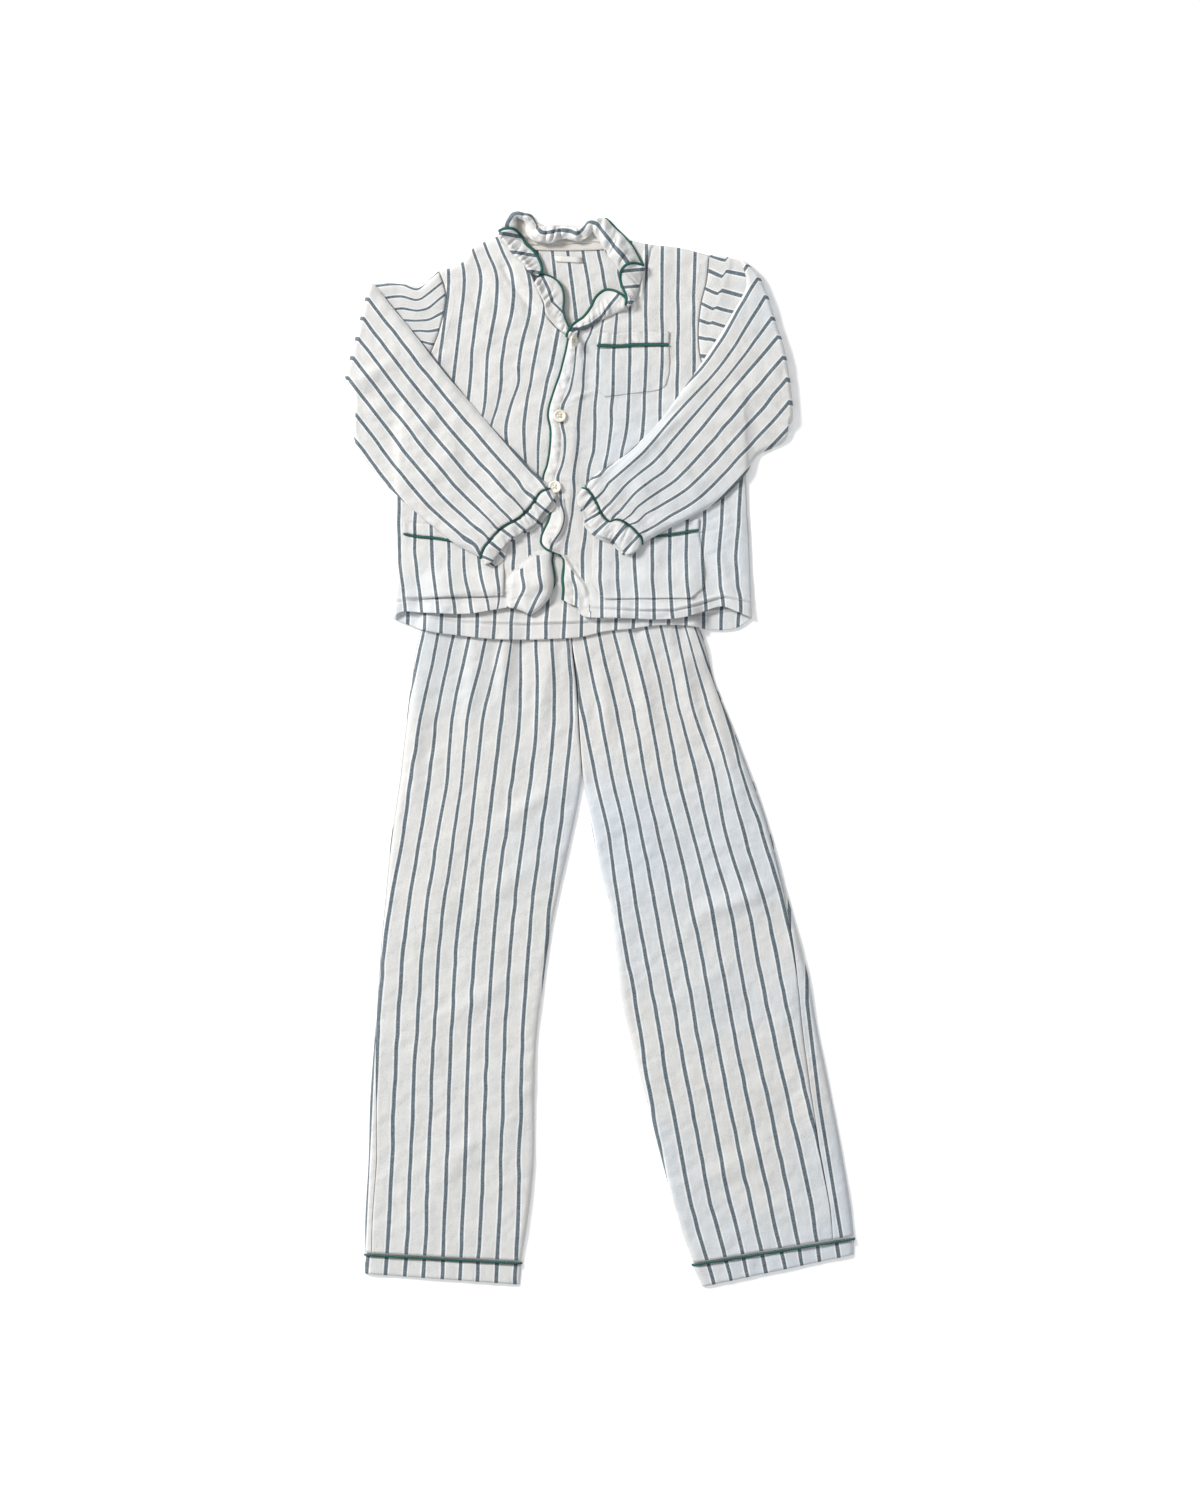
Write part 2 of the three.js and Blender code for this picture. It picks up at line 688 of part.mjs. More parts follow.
const edgeLeft = curve(EDGE_LEFT, EDGE_ROWS);
const frontLeftLine = edgeLeft.concat(curve(NECK_LEFT, 7).slice(1));
const frontLeftSide = joined(SIDE_LEFT, ARM_LEFT, EDGE_ROWS - 1, ARM_ROWS);
sheet("jacket_front_left", patch(
  curve(FRONT_HEM_LEFT, 13), curve(FRONT_TOP_LEFT, 13), frontLeftLine, shifted(frontLeftSide, SEAM)),
TROUSERS.concat("jacket_back", "jacket_front_right", "front_piping_right"), null, STRIPE_CLOTH);

const BODY = ["jacket_back", "jacket_front_right", "front_piping_right", "jacket_front_left"];
cord("front_piping_left", rested(shifted(edgeLeft, PIPE_WIDE + GAP),
  ["jacket_back", "jacket_front_right", "front_piping_right"], (t) => 0.2), false, null, PIPING);

// Pockets, columns: left x, left y, right x, right y, from the top down
const POCKET_RIGHT = [
  [-236, 257, -115, 241], [-239, 236, -115, 224], [-241, 208, -115, 206], [-240, 193, -115, 192],
  [-233, 182, -115, 184]];
const POCKET_LEFT = [
  [-10, 248, 119, 261], [-10, 226, 123, 237], [-10, 208, 126, 214], [-9, 196, 124, 194],
  [5, 181, 109, 182]];
const CHEST_POCKET = [
  [-4, 480, 83, 484], [-6, 462, 84, 466], [-7, 444, 83, 450], [-3, 432, 79, 437], [6, 423, 70, 431]];

function pocket(name, table, bandHeight, front, columns) {
  const left = table.map((r) => [r[0], r[1], 0]);
  const right = table.map((r) => [r[2], r[3], 0]);
  sheet(name, between(left, right, columns), [front], null, STRIPE_CLOTH);
  const start = left[0];
  const end = right[0];
  const line = [];
  for (let i = 0; i < columns; i += 1) {
    const u = i / (columns - 1);
    line.push([lerp(start[0], end[0], u), lerp(start[1], end[1], u) + PIPE_WIDE + 2 * GAP, 0]);
  }
  cord(name + "_piping", rested(line, [front], null), false, null, PIPING);
  const low = line.map((p) => [p[0], p[1] + PIPE_WIDE + 2 * GAP, 0]);
  const high = low.map((p) => [p[0], p[1] + bandHeight, 0]);
  sheet(name + "_band", between(low, high, 3), [front], null, STRIPE_CLOTH);
}

pocket("pocket_right", POCKET_RIGHT, 14, "jacket_front_right", 10);
pocket("pocket_left", POCKET_LEFT, 12, "jacket_front_left", 10);
pocket("chest_pocket", CHEST_POCKET, 13, "jacket_front_left", 8);

const FRONTS = BODY.concat(
  "front_piping_left", "pocket_right", "pocket_right_piping", "pocket_right_band", "pocket_left",
  "pocket_left_piping", "pocket_left_band", "chest_pocket", "chest_pocket_piping", "chest_pocket_band");

// Sleeves: the part beside the body, then the part folded across the front
const SLEEVE_ROWS = 8;
const FOLD_RIGHT = [[-301, 444], [-295, 468], [-288, 494], [-281, 522], [-276, 542], [-272, 559]];
const FOLD_LEFT = [[226, 392], [226, 414], [222, 450], [215, 486], [206, 514], [196, 546], [185, 570], [169, 587]];
const CAP_TOP_RIGHT = [[-272, 559], [-250, 559], [-228, 557], [-215, 555], [-202, 566], [-193, 574]];
const CAP_LOW_RIGHT = [[-301, 444], [-264, 426], [-235, 425]];
const CAP_TOP_LEFT = [[169, 587], [157, 590], [144, 592], [131, 593]];
const CAP_LOW_LEFT = [[226, 392], [198, 420], [170, 430]];
const ARM_TOP_RIGHT = [[-272, 559], [-206, 478], [-139, 396], [-94, 349], [-63, 309]];
const ARM_LOW_RIGHT = [
  [-301, 444], [-293, 418], [-294, 372], [-277, 342], [-241, 304], [-199, 268], [-172, 247], [-144, 232]];
const WRIST_RIGHT = [[-144, 232], [-130, 250], [-106, 272], [-79, 296], [-63, 309]];
const ARM_TOP_LEFT = [
  [169, 587], [176, 558], [160, 524], [137, 486], [113, 450], [88, 415], [67, 388], [24, 348],
  [-6, 329], [-18, 314]];
const ARM_LOW_LEFT = [
  [226, 392], [222, 372], [188, 353], [175, 332], [146, 302], [116, 283], [88, 269], [52, 248]];
const WRIST_LEFT = [[52, 248], [40, 264], [13, 272], [-2, 293], [-18, 314]];

function sleeve(side, armhole, fold, capTop, capLow, armTop, armLow, wrist, shift) {
  const seam = shifted(curve(armhole, SLEEVE_ROWS), shift);
  const foldLine = curve(fold, SLEEVE_ROWS);
  const last = SLEEVE_ROWS - 1;
  const cap = patch(
    seam, foldLine,
    tied(curve(capLow, 6).reverse(), seam[0], foldLine[0]),
    tied(curve(capTop, 6).reverse(), seam[last], foldLine[last]));
  const arm = patch(foldLine, curve(wrist, SLEEVE_ROWS), curve(armLow, 15), curve(armTop, 15));
  foldedSleeve("sleeve_" + side, cap, arm, [], FRONTS, STRIPE_CLOTH);
}

sleeve("right", ARM_RIGHT, FOLD_RIGHT, CAP_TOP_RIGHT, CAP_LOW_RIGHT, ARM_TOP_RIGHT, ARM_LOW_RIGHT,
  WRIST_RIGHT, 0.6);
sleeve("left", ARM_LEFT, FOLD_LEFT, CAP_TOP_LEFT, CAP_LOW_LEFT, ARM_TOP_LEFT, ARM_LOW_LEFT,
  WRIST_LEFT, -0.6);

// Turned cuffs, with the cord between cuff and sleeve
function cuff(side, wrist, edge, direction) {
  const near = curve(wrist, 9);
  const far = curve(edge, 9);
  const unit = (i) => {
    const dx = far[i][0] - near[i][0];
    const dy = far[i][1] - near[i][1];
    const length = Math.hypot(dx, dy) || 1;
    return [dx / length, dy / length];
  };
  const move = (i, distance) => {
    const [dx, dy] = unit(i);
    return [near[i][0] + direction[0] * distance, near[i][1] + direction[1] * distance, 0];
  };
  const line = near.map((p, i) => move(i, PIPE_WIDE + 3 * GAP));
  cordRound("cuff_piping_" + side, line, FRONTS, [direction[0], direction[1], 0], PIPING);
  const start = near.map((p, i) => move(i, 2 * PIPE_WIDE + 6 * GAP));
  const grid = [0, 0.5, 1].map((t) => start.map((p, i) => [
    lerp(p[0], far[i][0], t), lerp(p[1], far[i][1], t), 0]));
  band("cuff_" + side, grid, FRONTS, 1.5, STRIPE_CLOTH);
}

cuff("right", WRIST_RIGHT, [[-130, 219], [-113, 232], [-97, 252], [-70, 276], [-52, 298]],
  [0.68, -0.73]);
cuff("left", WRIST_LEFT, [[39, 233], [22, 240], [3, 256], [-14, 272], [-30, 302]],
  [-0.68, -0.73]);

// Lapels: lower line on the front, then the free edge, which stands towards the neck
const LAPEL_RIGHT_BASE = [[-40, 494], [-53, 506], [-64, 520], [-68, 535], [-72, 545], [-78, 558]];
const LAPEL_RIGHT_FREE = [[-38, 504], [-42, 518], [-44, 535], [-46, 552], [-56, 564], [-74, 567]];
const LAPEL_LEFT_BASE = [[-30, 500], [-17, 502], [-2, 507], [11, 515], [21, 524], [34, 530]];
const LAPEL_LEFT_FREE = [[-33, 506], [-20, 519], [-7, 533], [4, 546], [16, 549], [31, 535]];

function lapel(side, base, free, names) {
  const first = curve(base, 10);
  const second = curve(free, 10);
  const grid = between(first, second, 5);
  lay(grid, names, (u, v) => 7 * u * Math.sin(Math.PI * Math.min(v + 0.12, 1)) + 0.4);
  wall("lapel_facing_" + side, grid, upright(grid), false, STRIPE_CLOTH);
}

lapel("right", LAPEL_RIGHT_BASE, LAPEL_RIGHT_FREE, FRONTS.concat("neck_label"));
lapel("left", LAPEL_LEFT_BASE, LAPEL_LEFT_FREE, FRONTS.concat("neck_label", "lapel_facing_right"));

const LAPELS = ["lapel_facing_right", "lapel_facing_left"];
cord("lapel_piping_right", rested(shifted(curve(LAPEL_RIGHT_FREE, 14), -PIPE_WIDE - GAP),
  FRONTS.concat("neck_label"), (t) => 7 * Math.sin(Math.PI * Math.min(t + 0.12, 1))), false, null, PIPING);
cord("lapel_piping_left", rested(shifted(curve(LAPEL_LEFT_FREE, 14), PIPE_WIDE + GAP),
  FRONTS.concat("neck_label", "lapel_facing_right", "lapel_piping_right"),
  (t) => 7 * Math.sin(Math.PI * Math.min(t + 0.12, 1))), false, null, PIPING);

const PIPED = ["lapel_piping_right", "lapel_piping_left"];

// Collar, standing in a roll round the neck
// columns: inner x, inner y, outer x, outer y, lift of the inner edge, crown and outer edge
const COLLAR = [
  [-73, 570, -86, 573, 5, 5, 1],
  [-76, 586, -92, 583, 7, 6, 1],
  [-82, 599, -102, 594, 9, 8, 1],
  [-90, 609, -113, 605, 10, 9, 1],
  [-97, 617, -119, 617, 9, 12, 1],
  [-99, 624, -119, 631, 7, 13, 1],
  [-96, 630, -111, 641, 6, 13, 1],
  [-91, 630, -97, 645, 6, 13, 1],
  [-88, 626, -85, 641, 5, 12, 1],
  [-85, 620, -77, 629, 3, 11, 1],
  [-74, 610, -70, 628, 2, 10, 1],
  [-60, 609, -58, 629, 2, 10, 1],
  [-48, 610, -48, 630, 2, 10, 1],
  [-30, 609, -30, 630, 2, 10, 1],
  [-17, 611, -17, 631, 2, 11, 1],
  [-9, 615, -10, 636, 3, 12, 1],
  [-3, 611, 2, 638, 3, 12, 1],
  [3, 602, 13, 630, 2, 10, 1],
  [10, 592, 23, 620, 2, 9, 1],
  [16, 582, 34, 606, 2, 8, 1],
  [22, 572, 45, 590, 2, 7, 2],
  [25, 566, 52, 578, 3, 7, 4],
  [27, 556, 47, 560, 2, 5, 3],
  [31, 545, 43, 546, 1, 3, 1],
  [33, 536, 38, 536, 0, 1, 0],
];

function collarGrid() {
  const count = 37;
  const inner = curve(COLLAR.map((r) => [r[0], r[1], r[4]]), count);
  const outer = curve(COLLAR.map((r) => [r[2], r[3], r[6]]), count);
  const crown = curve(COLLAR.map((r) => [(r[0] + r[2]) / 2, (r[1] + r[3]) / 2, r[5]]), count);
  const columns = 6;
  const grid = inner.map((a, j) => {
    const b = outer[j];
    const m = crown[j];
    const row = [];
    for (let i = 0; i < columns; i += 1) {
      const u = i / (columns - 1);
      const bulge = 4 * u * (1 - u);
      const rise = lerp(a[2], b[2], u) + (m[2] - (a[2] + b[2]) / 2) * bulge;
      row.push([lerp(a[0], b[0], u), lerp(a[1], b[1], u), rise]);
    }
    return row;
  });
  return grid;
}

function collar() {
  const grid = collarGrid();
  const rise = grid.map((row) => row.map((p) => p[2]));
  const rows = grid.length;
  const columns = grid[0].length;
  lay(grid, FRONTS.concat(LAPELS, PIPED, "neck_binding", "neck_label"),
    (u, v) => rise[Math.round(v * (rows - 1))][Math.round(u * (columns - 1))]);
  wall("collar", grid, upright(grid), false, STRIPE_CLOTH);
}

collar();

// Cord along the collar's free edge, columns: x, y
const COLLAR_CORD_RIGHT = [
  [-73, 571], [-76, 586], [-82, 599], [-90, 609], [-98, 617], [-106, 621], [-119, 620]];
const COLLAR_CORD_LEFT = [
  [4, 636], [13, 629], [20, 622], [29, 613], [36, 603], [42, 594], [47, 587], [50, 581], [49, 577],
  [45, 576], [38, 579], [32, 578], [27, 575], [24, 569], [25, 562], [29, 554], [32, 547], [33, 539]];
cord("collar_piping_right", rested(curve(COLLAR_CORD_RIGHT, 15), ["collar"], null), false, null, PIPING);
cord("collar_piping_left", rested(curve(COLLAR_CORD_LEFT, 36), ["collar"].concat(LAPELS, PIPED), null),
  false, null, PIPING);

// Buttons, columns: x, y, tilt in degrees, sink of the tilted one into the cloth's dip
const BUTTONS = [[-29, 490, 62, 1.1], [-46, 401, 0, 0], [-52, 316, 0, 0]];

function button(name, place, names) {
  const shape = new THREE.Shape();
  shape.absarc(0, 0, BUTTON_RADIUS, 0, 2 * Math.PI, false);
  for (const [sx, sy] of [[1, 1], [-1, 1], [-1, -1], [1, -1]]) {
    const hole = new THREE.Path();
    hole.absarc(sx * BUTTON_HOLE_PITCH, sy * BUTTON_HOLE_PITCH, BUTTON_HOLE, 0, 2 * Math.PI, true);
    shape.holes.push(hole);
  }
  const geometry = new THREE.ExtrudeGeometry(shape, {
    depth: BUTTON_THICK, bevelEnabled: false, curveSegments: 7 });
  const tilt = place[2] * Math.PI / 180;
  geometry.translate(0, 0, -BUTTON_THICK / 2);
  geometry.rotateY(tilt);
  const map = ground(names);
  const [ci, cj] = cellOf(place[0], place[1]);
  let below = 0;
  for (let dj = -5; dj <= 5; dj += 1) {
    for (let di = -5; di <= 5; di += 1) {
      below = Math.max(below, map[(cj + dj) * MAP_COLUMNS + ci + di]);
    }
  }
  const half = Math.sin(tilt) * BUTTON_RADIUS + Math.cos(tilt) * BUTTON_THICK / 2;
  geometry.translate(place[0], place[1], below + GAP + half - place[3]);
  const mesh = new THREE.Mesh(geometry, new THREE.MeshStandardMaterial({ color: SHELL, roughness: 0.35 }));
  mesh.name = name;
  group.add(mesh);
}

BUTTONS.forEach((place, k) => button("button_" + (k + 1), place, FRONTS));

// Middle of the set over the origin, underside on the floor
const box = new THREE.Box3().setFromObject(group);
const middle = box.getCenter(new THREE.Vector3());
group.children.forEach((mesh) => mesh.geometry.translate(-middle.x, -middle.y, -box.min.z));

export default group;
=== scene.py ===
import math

import bpy
import numpy as np
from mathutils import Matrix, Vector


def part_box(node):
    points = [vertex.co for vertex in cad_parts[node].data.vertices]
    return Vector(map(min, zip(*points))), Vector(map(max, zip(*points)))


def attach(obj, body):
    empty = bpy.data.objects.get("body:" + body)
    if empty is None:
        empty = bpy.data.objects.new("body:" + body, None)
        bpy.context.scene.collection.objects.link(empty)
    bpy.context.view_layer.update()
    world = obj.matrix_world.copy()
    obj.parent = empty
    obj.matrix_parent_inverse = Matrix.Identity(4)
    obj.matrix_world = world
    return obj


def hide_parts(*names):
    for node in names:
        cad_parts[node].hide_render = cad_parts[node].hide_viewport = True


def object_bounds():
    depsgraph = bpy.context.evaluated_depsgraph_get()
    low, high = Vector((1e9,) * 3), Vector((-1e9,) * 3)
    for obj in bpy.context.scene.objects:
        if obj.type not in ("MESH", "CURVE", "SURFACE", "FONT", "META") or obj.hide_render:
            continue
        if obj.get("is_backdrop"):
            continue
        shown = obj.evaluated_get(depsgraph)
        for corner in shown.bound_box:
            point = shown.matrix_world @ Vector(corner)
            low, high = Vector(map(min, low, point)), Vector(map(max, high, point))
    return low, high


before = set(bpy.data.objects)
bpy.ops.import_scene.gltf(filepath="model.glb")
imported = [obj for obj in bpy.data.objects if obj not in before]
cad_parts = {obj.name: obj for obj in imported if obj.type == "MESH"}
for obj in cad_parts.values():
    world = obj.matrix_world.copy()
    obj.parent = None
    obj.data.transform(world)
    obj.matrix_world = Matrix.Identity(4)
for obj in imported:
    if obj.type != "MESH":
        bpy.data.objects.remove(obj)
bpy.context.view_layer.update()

# Sizes in millimetres in the frame of the CAD source's tables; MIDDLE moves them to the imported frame
MM = 0.001
SECOND_BUTTON = (-46.0, 401.0)
button_low, button_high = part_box("button_2")
MIDDLE = np.array([
    (button_low.x + button_high.x) / 2 / MM - SECOND_BUTTON[0],
    (button_low.y + button_high.y) / 2 / MM - SECOND_BUTTON[1],
    0.0,
])
# Cloth's wall, half the gap at a seam, half of a cord's width and height, and from stripe to stripe
THICK = 0.5
SEAM = 0.25
PIPE_WIDE = 1.3
PIPE_HIGH = 1.1
PITCH = 21.0
# Half of the plain strip beside a crease where the stripes jump
HELD = 1.6
CURVE_STEPS = 40
# Noise repeats after that many lumps; the shift keeps its cells above zero
LATTICE = 64
LATTICE_SHIFT = 1000

# Height map of what lies below: the highest points of the pieces stamped under each name
CELL = 1.5
STAMP_STEP = 1.2
MAP_LEFT = -345.0
MAP_BOTTOM = -690.0
MAP_COLUMNS = 460
MAP_ROWS = 900
tops = {}
smoothed = {}


def curve(points, places):
    """Centripetal Catmull-Rom line through the points. Places is a count, or shares of the line's length."""
    places = np.linspace(0, 1, places) if np.isscalar(places) else places
    p = np.asarray(points, float)
    ends = np.vstack([2 * p[0] - p[1], p, 2 * p[-1] - p[-2]])
    t = np.linspace(0, 1, CURVE_STEPS + 1)[:-1, None]
    parts = []
    for k in range(1, len(ends) - 2):
        a, b, c, d = ends[k - 1:k + 3]
        first, second, third = [max(np.linalg.norm(v), 1e-9) ** 0.5 for v in (b - a, c - b, d - c)]
        start = ((b - a) / first - (c - a) / (first + second) + (c - b) / second) * second
        stop = ((c - b) / second - (d - b) / (second + third) + (d - c) / third) * second
        parts.append(b + start * t + (3 * (c - b) - 2 * start - stop) * t ** 2
                     + (2 * (b - c) + start + stop) * t ** 3)
    parts.append(p[-1:])
    dense = np.vstack(parts)
    along = lengths(dense)
    return np.stack([np.interp(places * along[-1], along, v) for v in dense.T], 1)


def crowded(count, share, dense):
    """Shares of a length, with that many of them crowded into its first part."""
    return np.concatenate([np.linspace(0, share, dense + 1)[:-1], np.linspace(share, 1, count - dense)])


def lengths(line):
    """Distance along a line at each of its points."""
    return np.concatenate([[0], np.cumsum(np.linalg.norm(np.diff(line, axis=0), axis=1))])


def joined(first, second, first_count, second_count):
    """One line along two curves that share an end."""
    return np.vstack([curve(first, first_count), curve(second, second_count)[1:]])


def shifted(line, distance):
    """A line moved sideways; positive is to the left of its direction."""
    way = np.gradient(line[:, :2], axis=0)
    way /= np.maximum(np.linalg.norm(way, axis=1), 1e-9)[:, None]
    moved = line.copy()
    moved[:, 0] -= way[:, 1] * distance
    moved[:, 1] += way[:, 0] * distance
    return moved


def tied(line, start, end):
    """A line with its two end points moved there."""
    moved = line.copy()
    moved[0] = start
    moved[-1] = end
    return moved


def patch(low_side, high_side, left, right):
    """Grid between four sampled sides; rows run from the low side to the high side."""
    low_side = tied(low_side, left[0], right[0])
    high_side = tied(high_side, left[-1], right[-1])
    u = (lengths(low_side) / lengths(low_side)[-1])[None, :, None]
    v = (lengths(left) / lengths(left)[-1])[:, None, None]
    along = low_side[None] * (1 - v) + high_side[None] * v
    across = left[:, None] * (1 - u) + right[:, None] * u
    corners = ((low_side[0] * (1 - u) + low_side[-1] * u) * (1 - v)
               + (high_side[0] * (1 - u) + high_side[-1] * u) * v)
    return along + across - corners


def between(first, second, columns):
    """Grid from one line of points straight across to another."""
    u = np.linspace(0, 1, columns)[None, :, None]
    return first[:, None] * (1 - u) + second[:, None] * u


def lifted(grid, height):
    """Points of a grid or line at that height."""
    height = np.broadcast_to(height, grid.shape[:-1])
    return np.concatenate([grid[..., :2], height[..., None]], -1)


def raised(grid, rise):
    """Points of a grid moved up by that much."""
    return lifted(grid, grid[..., 2] + rise)


def woven(number, along):
    """Map coordinates from stripe numbers and the distance along the stripes."""
    return np.stack(np.broadcast_arrays(number, along / PITCH), -1)


def refined(grid, rows, columns):
    """Grid with more rows and columns, straight between its points."""
    def finer(values, times):
        count = (len(values) - 1) * times + 1
        place = np.linspace(0, len(values) - 1, count)
        low = np.minimum(place.astype(int), len(values) - 2)
        part = (place - low).reshape((-1,) + (1,) * (values.ndim - 1))
        return values[low] * (1 - part) + values[low + 1] * part
    return np.swapaxes(finer(np.swapaxes(finer(grid, rows), 0, 1), columns), 0, 1)


def stamp(name, grid):
    """Keeps the highest point of a surface in each cell of the map, under a name."""
    gaps = [np.linalg.norm(np.diff(grid[..., :2], axis=k), axis=2).max() for k in (0, 1)]
    fine = refined(grid, *[max(int(np.ceil(gap / STAMP_STEP)), 1) for gap in gaps])
    columns = np.clip(((fine[..., 0] - MAP_LEFT) / CELL).astype(int), 0, MAP_COLUMNS - 1)
    rows = np.clip(((fine[..., 1] - MAP_BOTTOM) / CELL).astype(int), 0, MAP_ROWS - 1)
    heights = tops.setdefault(name, np.zeros((MAP_ROWS, MAP_COLUMNS)))
    np.maximum.at(heights, (rows, columns), fine[..., 2] + THICK / 2)
    smoothed.clear()


def spread(heights, reach):
    """Highest value within that many cells."""
    for axis in (0, 1):
        best = heights
        for k in range(1, reach + 1):
            best = np.maximum(best, np.maximum(np.roll(heights, k, axis), np.roll(heights, -k, axis)))
        heights = best
    return heights


def blurred(heights, width):
    """Heights smoothed by a bell curve that many cells wide."""
    reach = int(3 * width) + 1
    weights = np.exp(-0.5 * (np.arange(-reach, reach + 1) / width) ** 2)
    weights /= weights.sum()
    for axis in (0, 1):
        heights = sum(w * np.roll(heights, k - reach, axis) for k, w in enumerate(weights))
    return heights


def ground(names, softness):
    """Height map under several names together, never lower than its own highest neighbours."""
    key = (tuple(names), softness)
    if key not in smoothed:
        heights = np.zeros((MAP_ROWS, MAP_COLUMNS))
        for name in names:
            heights = np.maximum(heights, tops[name])
        if softness:
            close = spread(heights, 1)
            heights = np.maximum(blurred(spread(heights, 2), softness), close)
        smoothed[key] = heights
    return smoothed[key]


def below(x, y, names, softness=2.0):
    """Height of what lies below at those points, smoothed so that cloth bridges its steps."""
    heights = ground(names, softness)
    column = (x - MAP_LEFT) / CELL - 0.5
    row = (y - MAP_BOTTOM) / CELL - 0.5
    i = np.clip(column.astype(int), 0, MAP_COLUMNS - 2)
    j = np.clip(row.astype(int), 0, MAP_ROWS - 2)
    a = np.clip(column - i, 0, 1)
    b = np.clip(row - j, 0, 1)
    return ((heights[j, i] * (1 - a) + heights[j, i + 1] * a) * (1 - b)
            + (heights[j + 1, i] * (1 - a) + heights[j + 1, i + 1] * a) * b)


def noise(x, y, seed, length, width=None, angle=0.0):
    """Smooth noise from 0 to 1; its lumps are that long along the angle and that wide across it."""
    width = width or length
    c, s = math.cos(math.radians(angle)), math.sin(math.radians(angle))
    u = (x * c + y * s) / length + LATTICE_SHIFT
    v = (-x * s + y * c) / width + LATTICE_SHIFT
    lattice = np.random.default_rng(seed).random((LATTICE, LATTICE))
    i, j = np.floor(u).astype(int), np.floor(v).astype(int)
    a, b = u - i, v - j
    a, b = a * a * (3 - 2 * a), b * b * (3 - 2 * b)

    def at(di, dj):
        return lattice[(i + di) % LATTICE, (j + dj) % LATTICE]

    return (at(0, 0) * (1 - a) + at(1, 0) * a) * (1 - b) + (at(0, 1) * (1 - a) + at(1, 1) * a) * b


def creased(x, y, seed, length, width=None, angle=0.0):
    """Noise with sharp valleys: 0 on the creases, up to 1 between them."""
    return np.abs(2 * noise(x, y, seed, length, width, angle) - 1) ** 0.8


def ridges(x, y, table):
    """Sum of soft ridges or dips, columns: from x, y, to x, y, width, height."""
    total = np.zeros_like(x)
    for x0, y0, x1, y1, width, height in table:
        dx, dy = x1 - x0, y1 - y0
        size = dx * dx + dy * dy
        t = np.clip(((x - x0) * dx + (y - y0) * dy) / size, 0, 1)
        away = (x - x0 - t * dx) ** 2 + (y - y0 - t * dy) ** 2
        fade = np.sin(np.pi * np.clip(t, 0.04, 0.96)) ** 0.6
        total += height * fade * np.exp(-away / width ** 2)
    return total


def rounded(distance, radius):
    """Quarter-round profile from 0 at an edge to 1 at that distance from it."""
    t = np.clip(distance / radius, 0, 1)
    return np.sqrt(np.maximum(1 - (1 - t) ** 2, 0))


def eased(value, low, high):
    """Smooth step from 0 at low to 1 at high."""
    t = np.clip((value - low) / (high - low), 0, 1)
    return t * t * (3 - 2 * t)


def edge_distance(grid):
    """Distance of every grid point from the grid's sides: left, right, low, high."""
    across = np.linalg.norm(np.diff(grid[..., :2], axis=1), axis=2)
    along = np.linalg.norm(np.diff(grid[..., :2], axis=0), axis=2)
    left = np.concatenate([np.zeros((len(grid), 1)), np.cumsum(across, 1)], 1)
    low = np.concatenate([np.zeros((1, grid.shape[1])), np.cumsum(along, 0)], 0)
    return left, left[:, -1:] - left, low, low[-1:] - low


def nearest(x, y, line):
    """Distance from a line of points, place along it, 1 to its left or -1 to its right, and its length."""
    points = np.asarray(line, float)
    best = np.full(x.shape, 1e9)
    place = np.zeros(x.shape)
    side = np.ones(x.shape)
    start = 0.0
    for (ax, ay), (bx, by) in zip(points[:-1], points[1:]):
        dx, dy = bx - ax, by - ay
        size = math.hypot(dx, dy)
        t = np.clip(((x - ax) * dx + (y - ay) * dy) / size ** 2, 0, 1)
        away = np.hypot(x - ax - t * dx, y - ay - t * dy)
        near = away < best
        best = np.where(near, away, best)
        place = np.where(near, start + t * size, place)
        side = np.where(near, np.sign(dx * (y - ay) - dy * (x - ax)), side)
        start += size
    return best, place, side, start


def pulled(x, y, line, reach, period, height, seed):
    """Small puckers across a stitched line, which itself lies a little lower."""
    away, place = nearest(x, y, line)[:2]
    wave = noise(place, np.zeros_like(place), seed, period)
    return height * (wave * np.exp(-(away / reach) ** 2) - 0.9 * np.exp(-(away / 1.8) ** 2))


def fold(x, y, line, width, height):
    """Ridge to the left of a line and a narrow trough to its right, dying out at its ends."""
    away, place, side, size = nearest(x, y, line)
    across = away * side
    fade = np.sin(np.pi * np.clip(place / size, 0.03, 0.97)) ** 0.5
    trough = np.exp(-((across + width * 0.5) / (width * 0.6)) ** 2)
    return height * fade * (np.exp(-((across - width) / width) ** 2) - 0.7 * trough)


def stripe_at(first, second, rows, marks):
    """Stripe number at each point.

    Rows hold a place along the stripes, then where each marked stripe crosses it.
    """
    table = np.array(sorted(rows), float)
    place = table[:, 0]
    slope = np.gradient(table[:, 1:], place, axis=0)
    k = np.clip(np.searchsorted(place, first) - 1, 0, len(place) - 2)
    span = place[k + 1] - place[k]
    t = (first - place[k]) / span
    inner = np.clip(t, 0, 1)
    crossings = []
    for m in range(len(marks)):
        a, b = table[k, m + 1], table[k + 1, m + 1]
        p, q = slope[k, m] * span, slope[k + 1, m] * span
        value = (a + p * inner + (3 * (b - a) - 2 * p - q) * inner ** 2
                 + (2 * (a - b) + p + q) * inner ** 3)
        value += np.where(t < 0, p * t, 0) + np.where(t > 1, q * (t - 1), 0)
        crossings.append(value)
    number = np.full(first.shape, float(marks[0]))
    for m in range(len(marks) - 1):
        a, b = crossings[m], crossings[m + 1]
        part = (second - a) / (b - a)
        if m > 0:
            part = np.maximum(part, 0)
        if m < len(marks) - 2:
            part = np.minimum(part, 1)
        number += part * (marks[m + 1] - marks[m])
    number += 0.08 * (noise(first, second, 91, 48, 36) - 0.5)
    return number + 0.05 * (noise(first, second, 92, 17, 22) - 0.5)


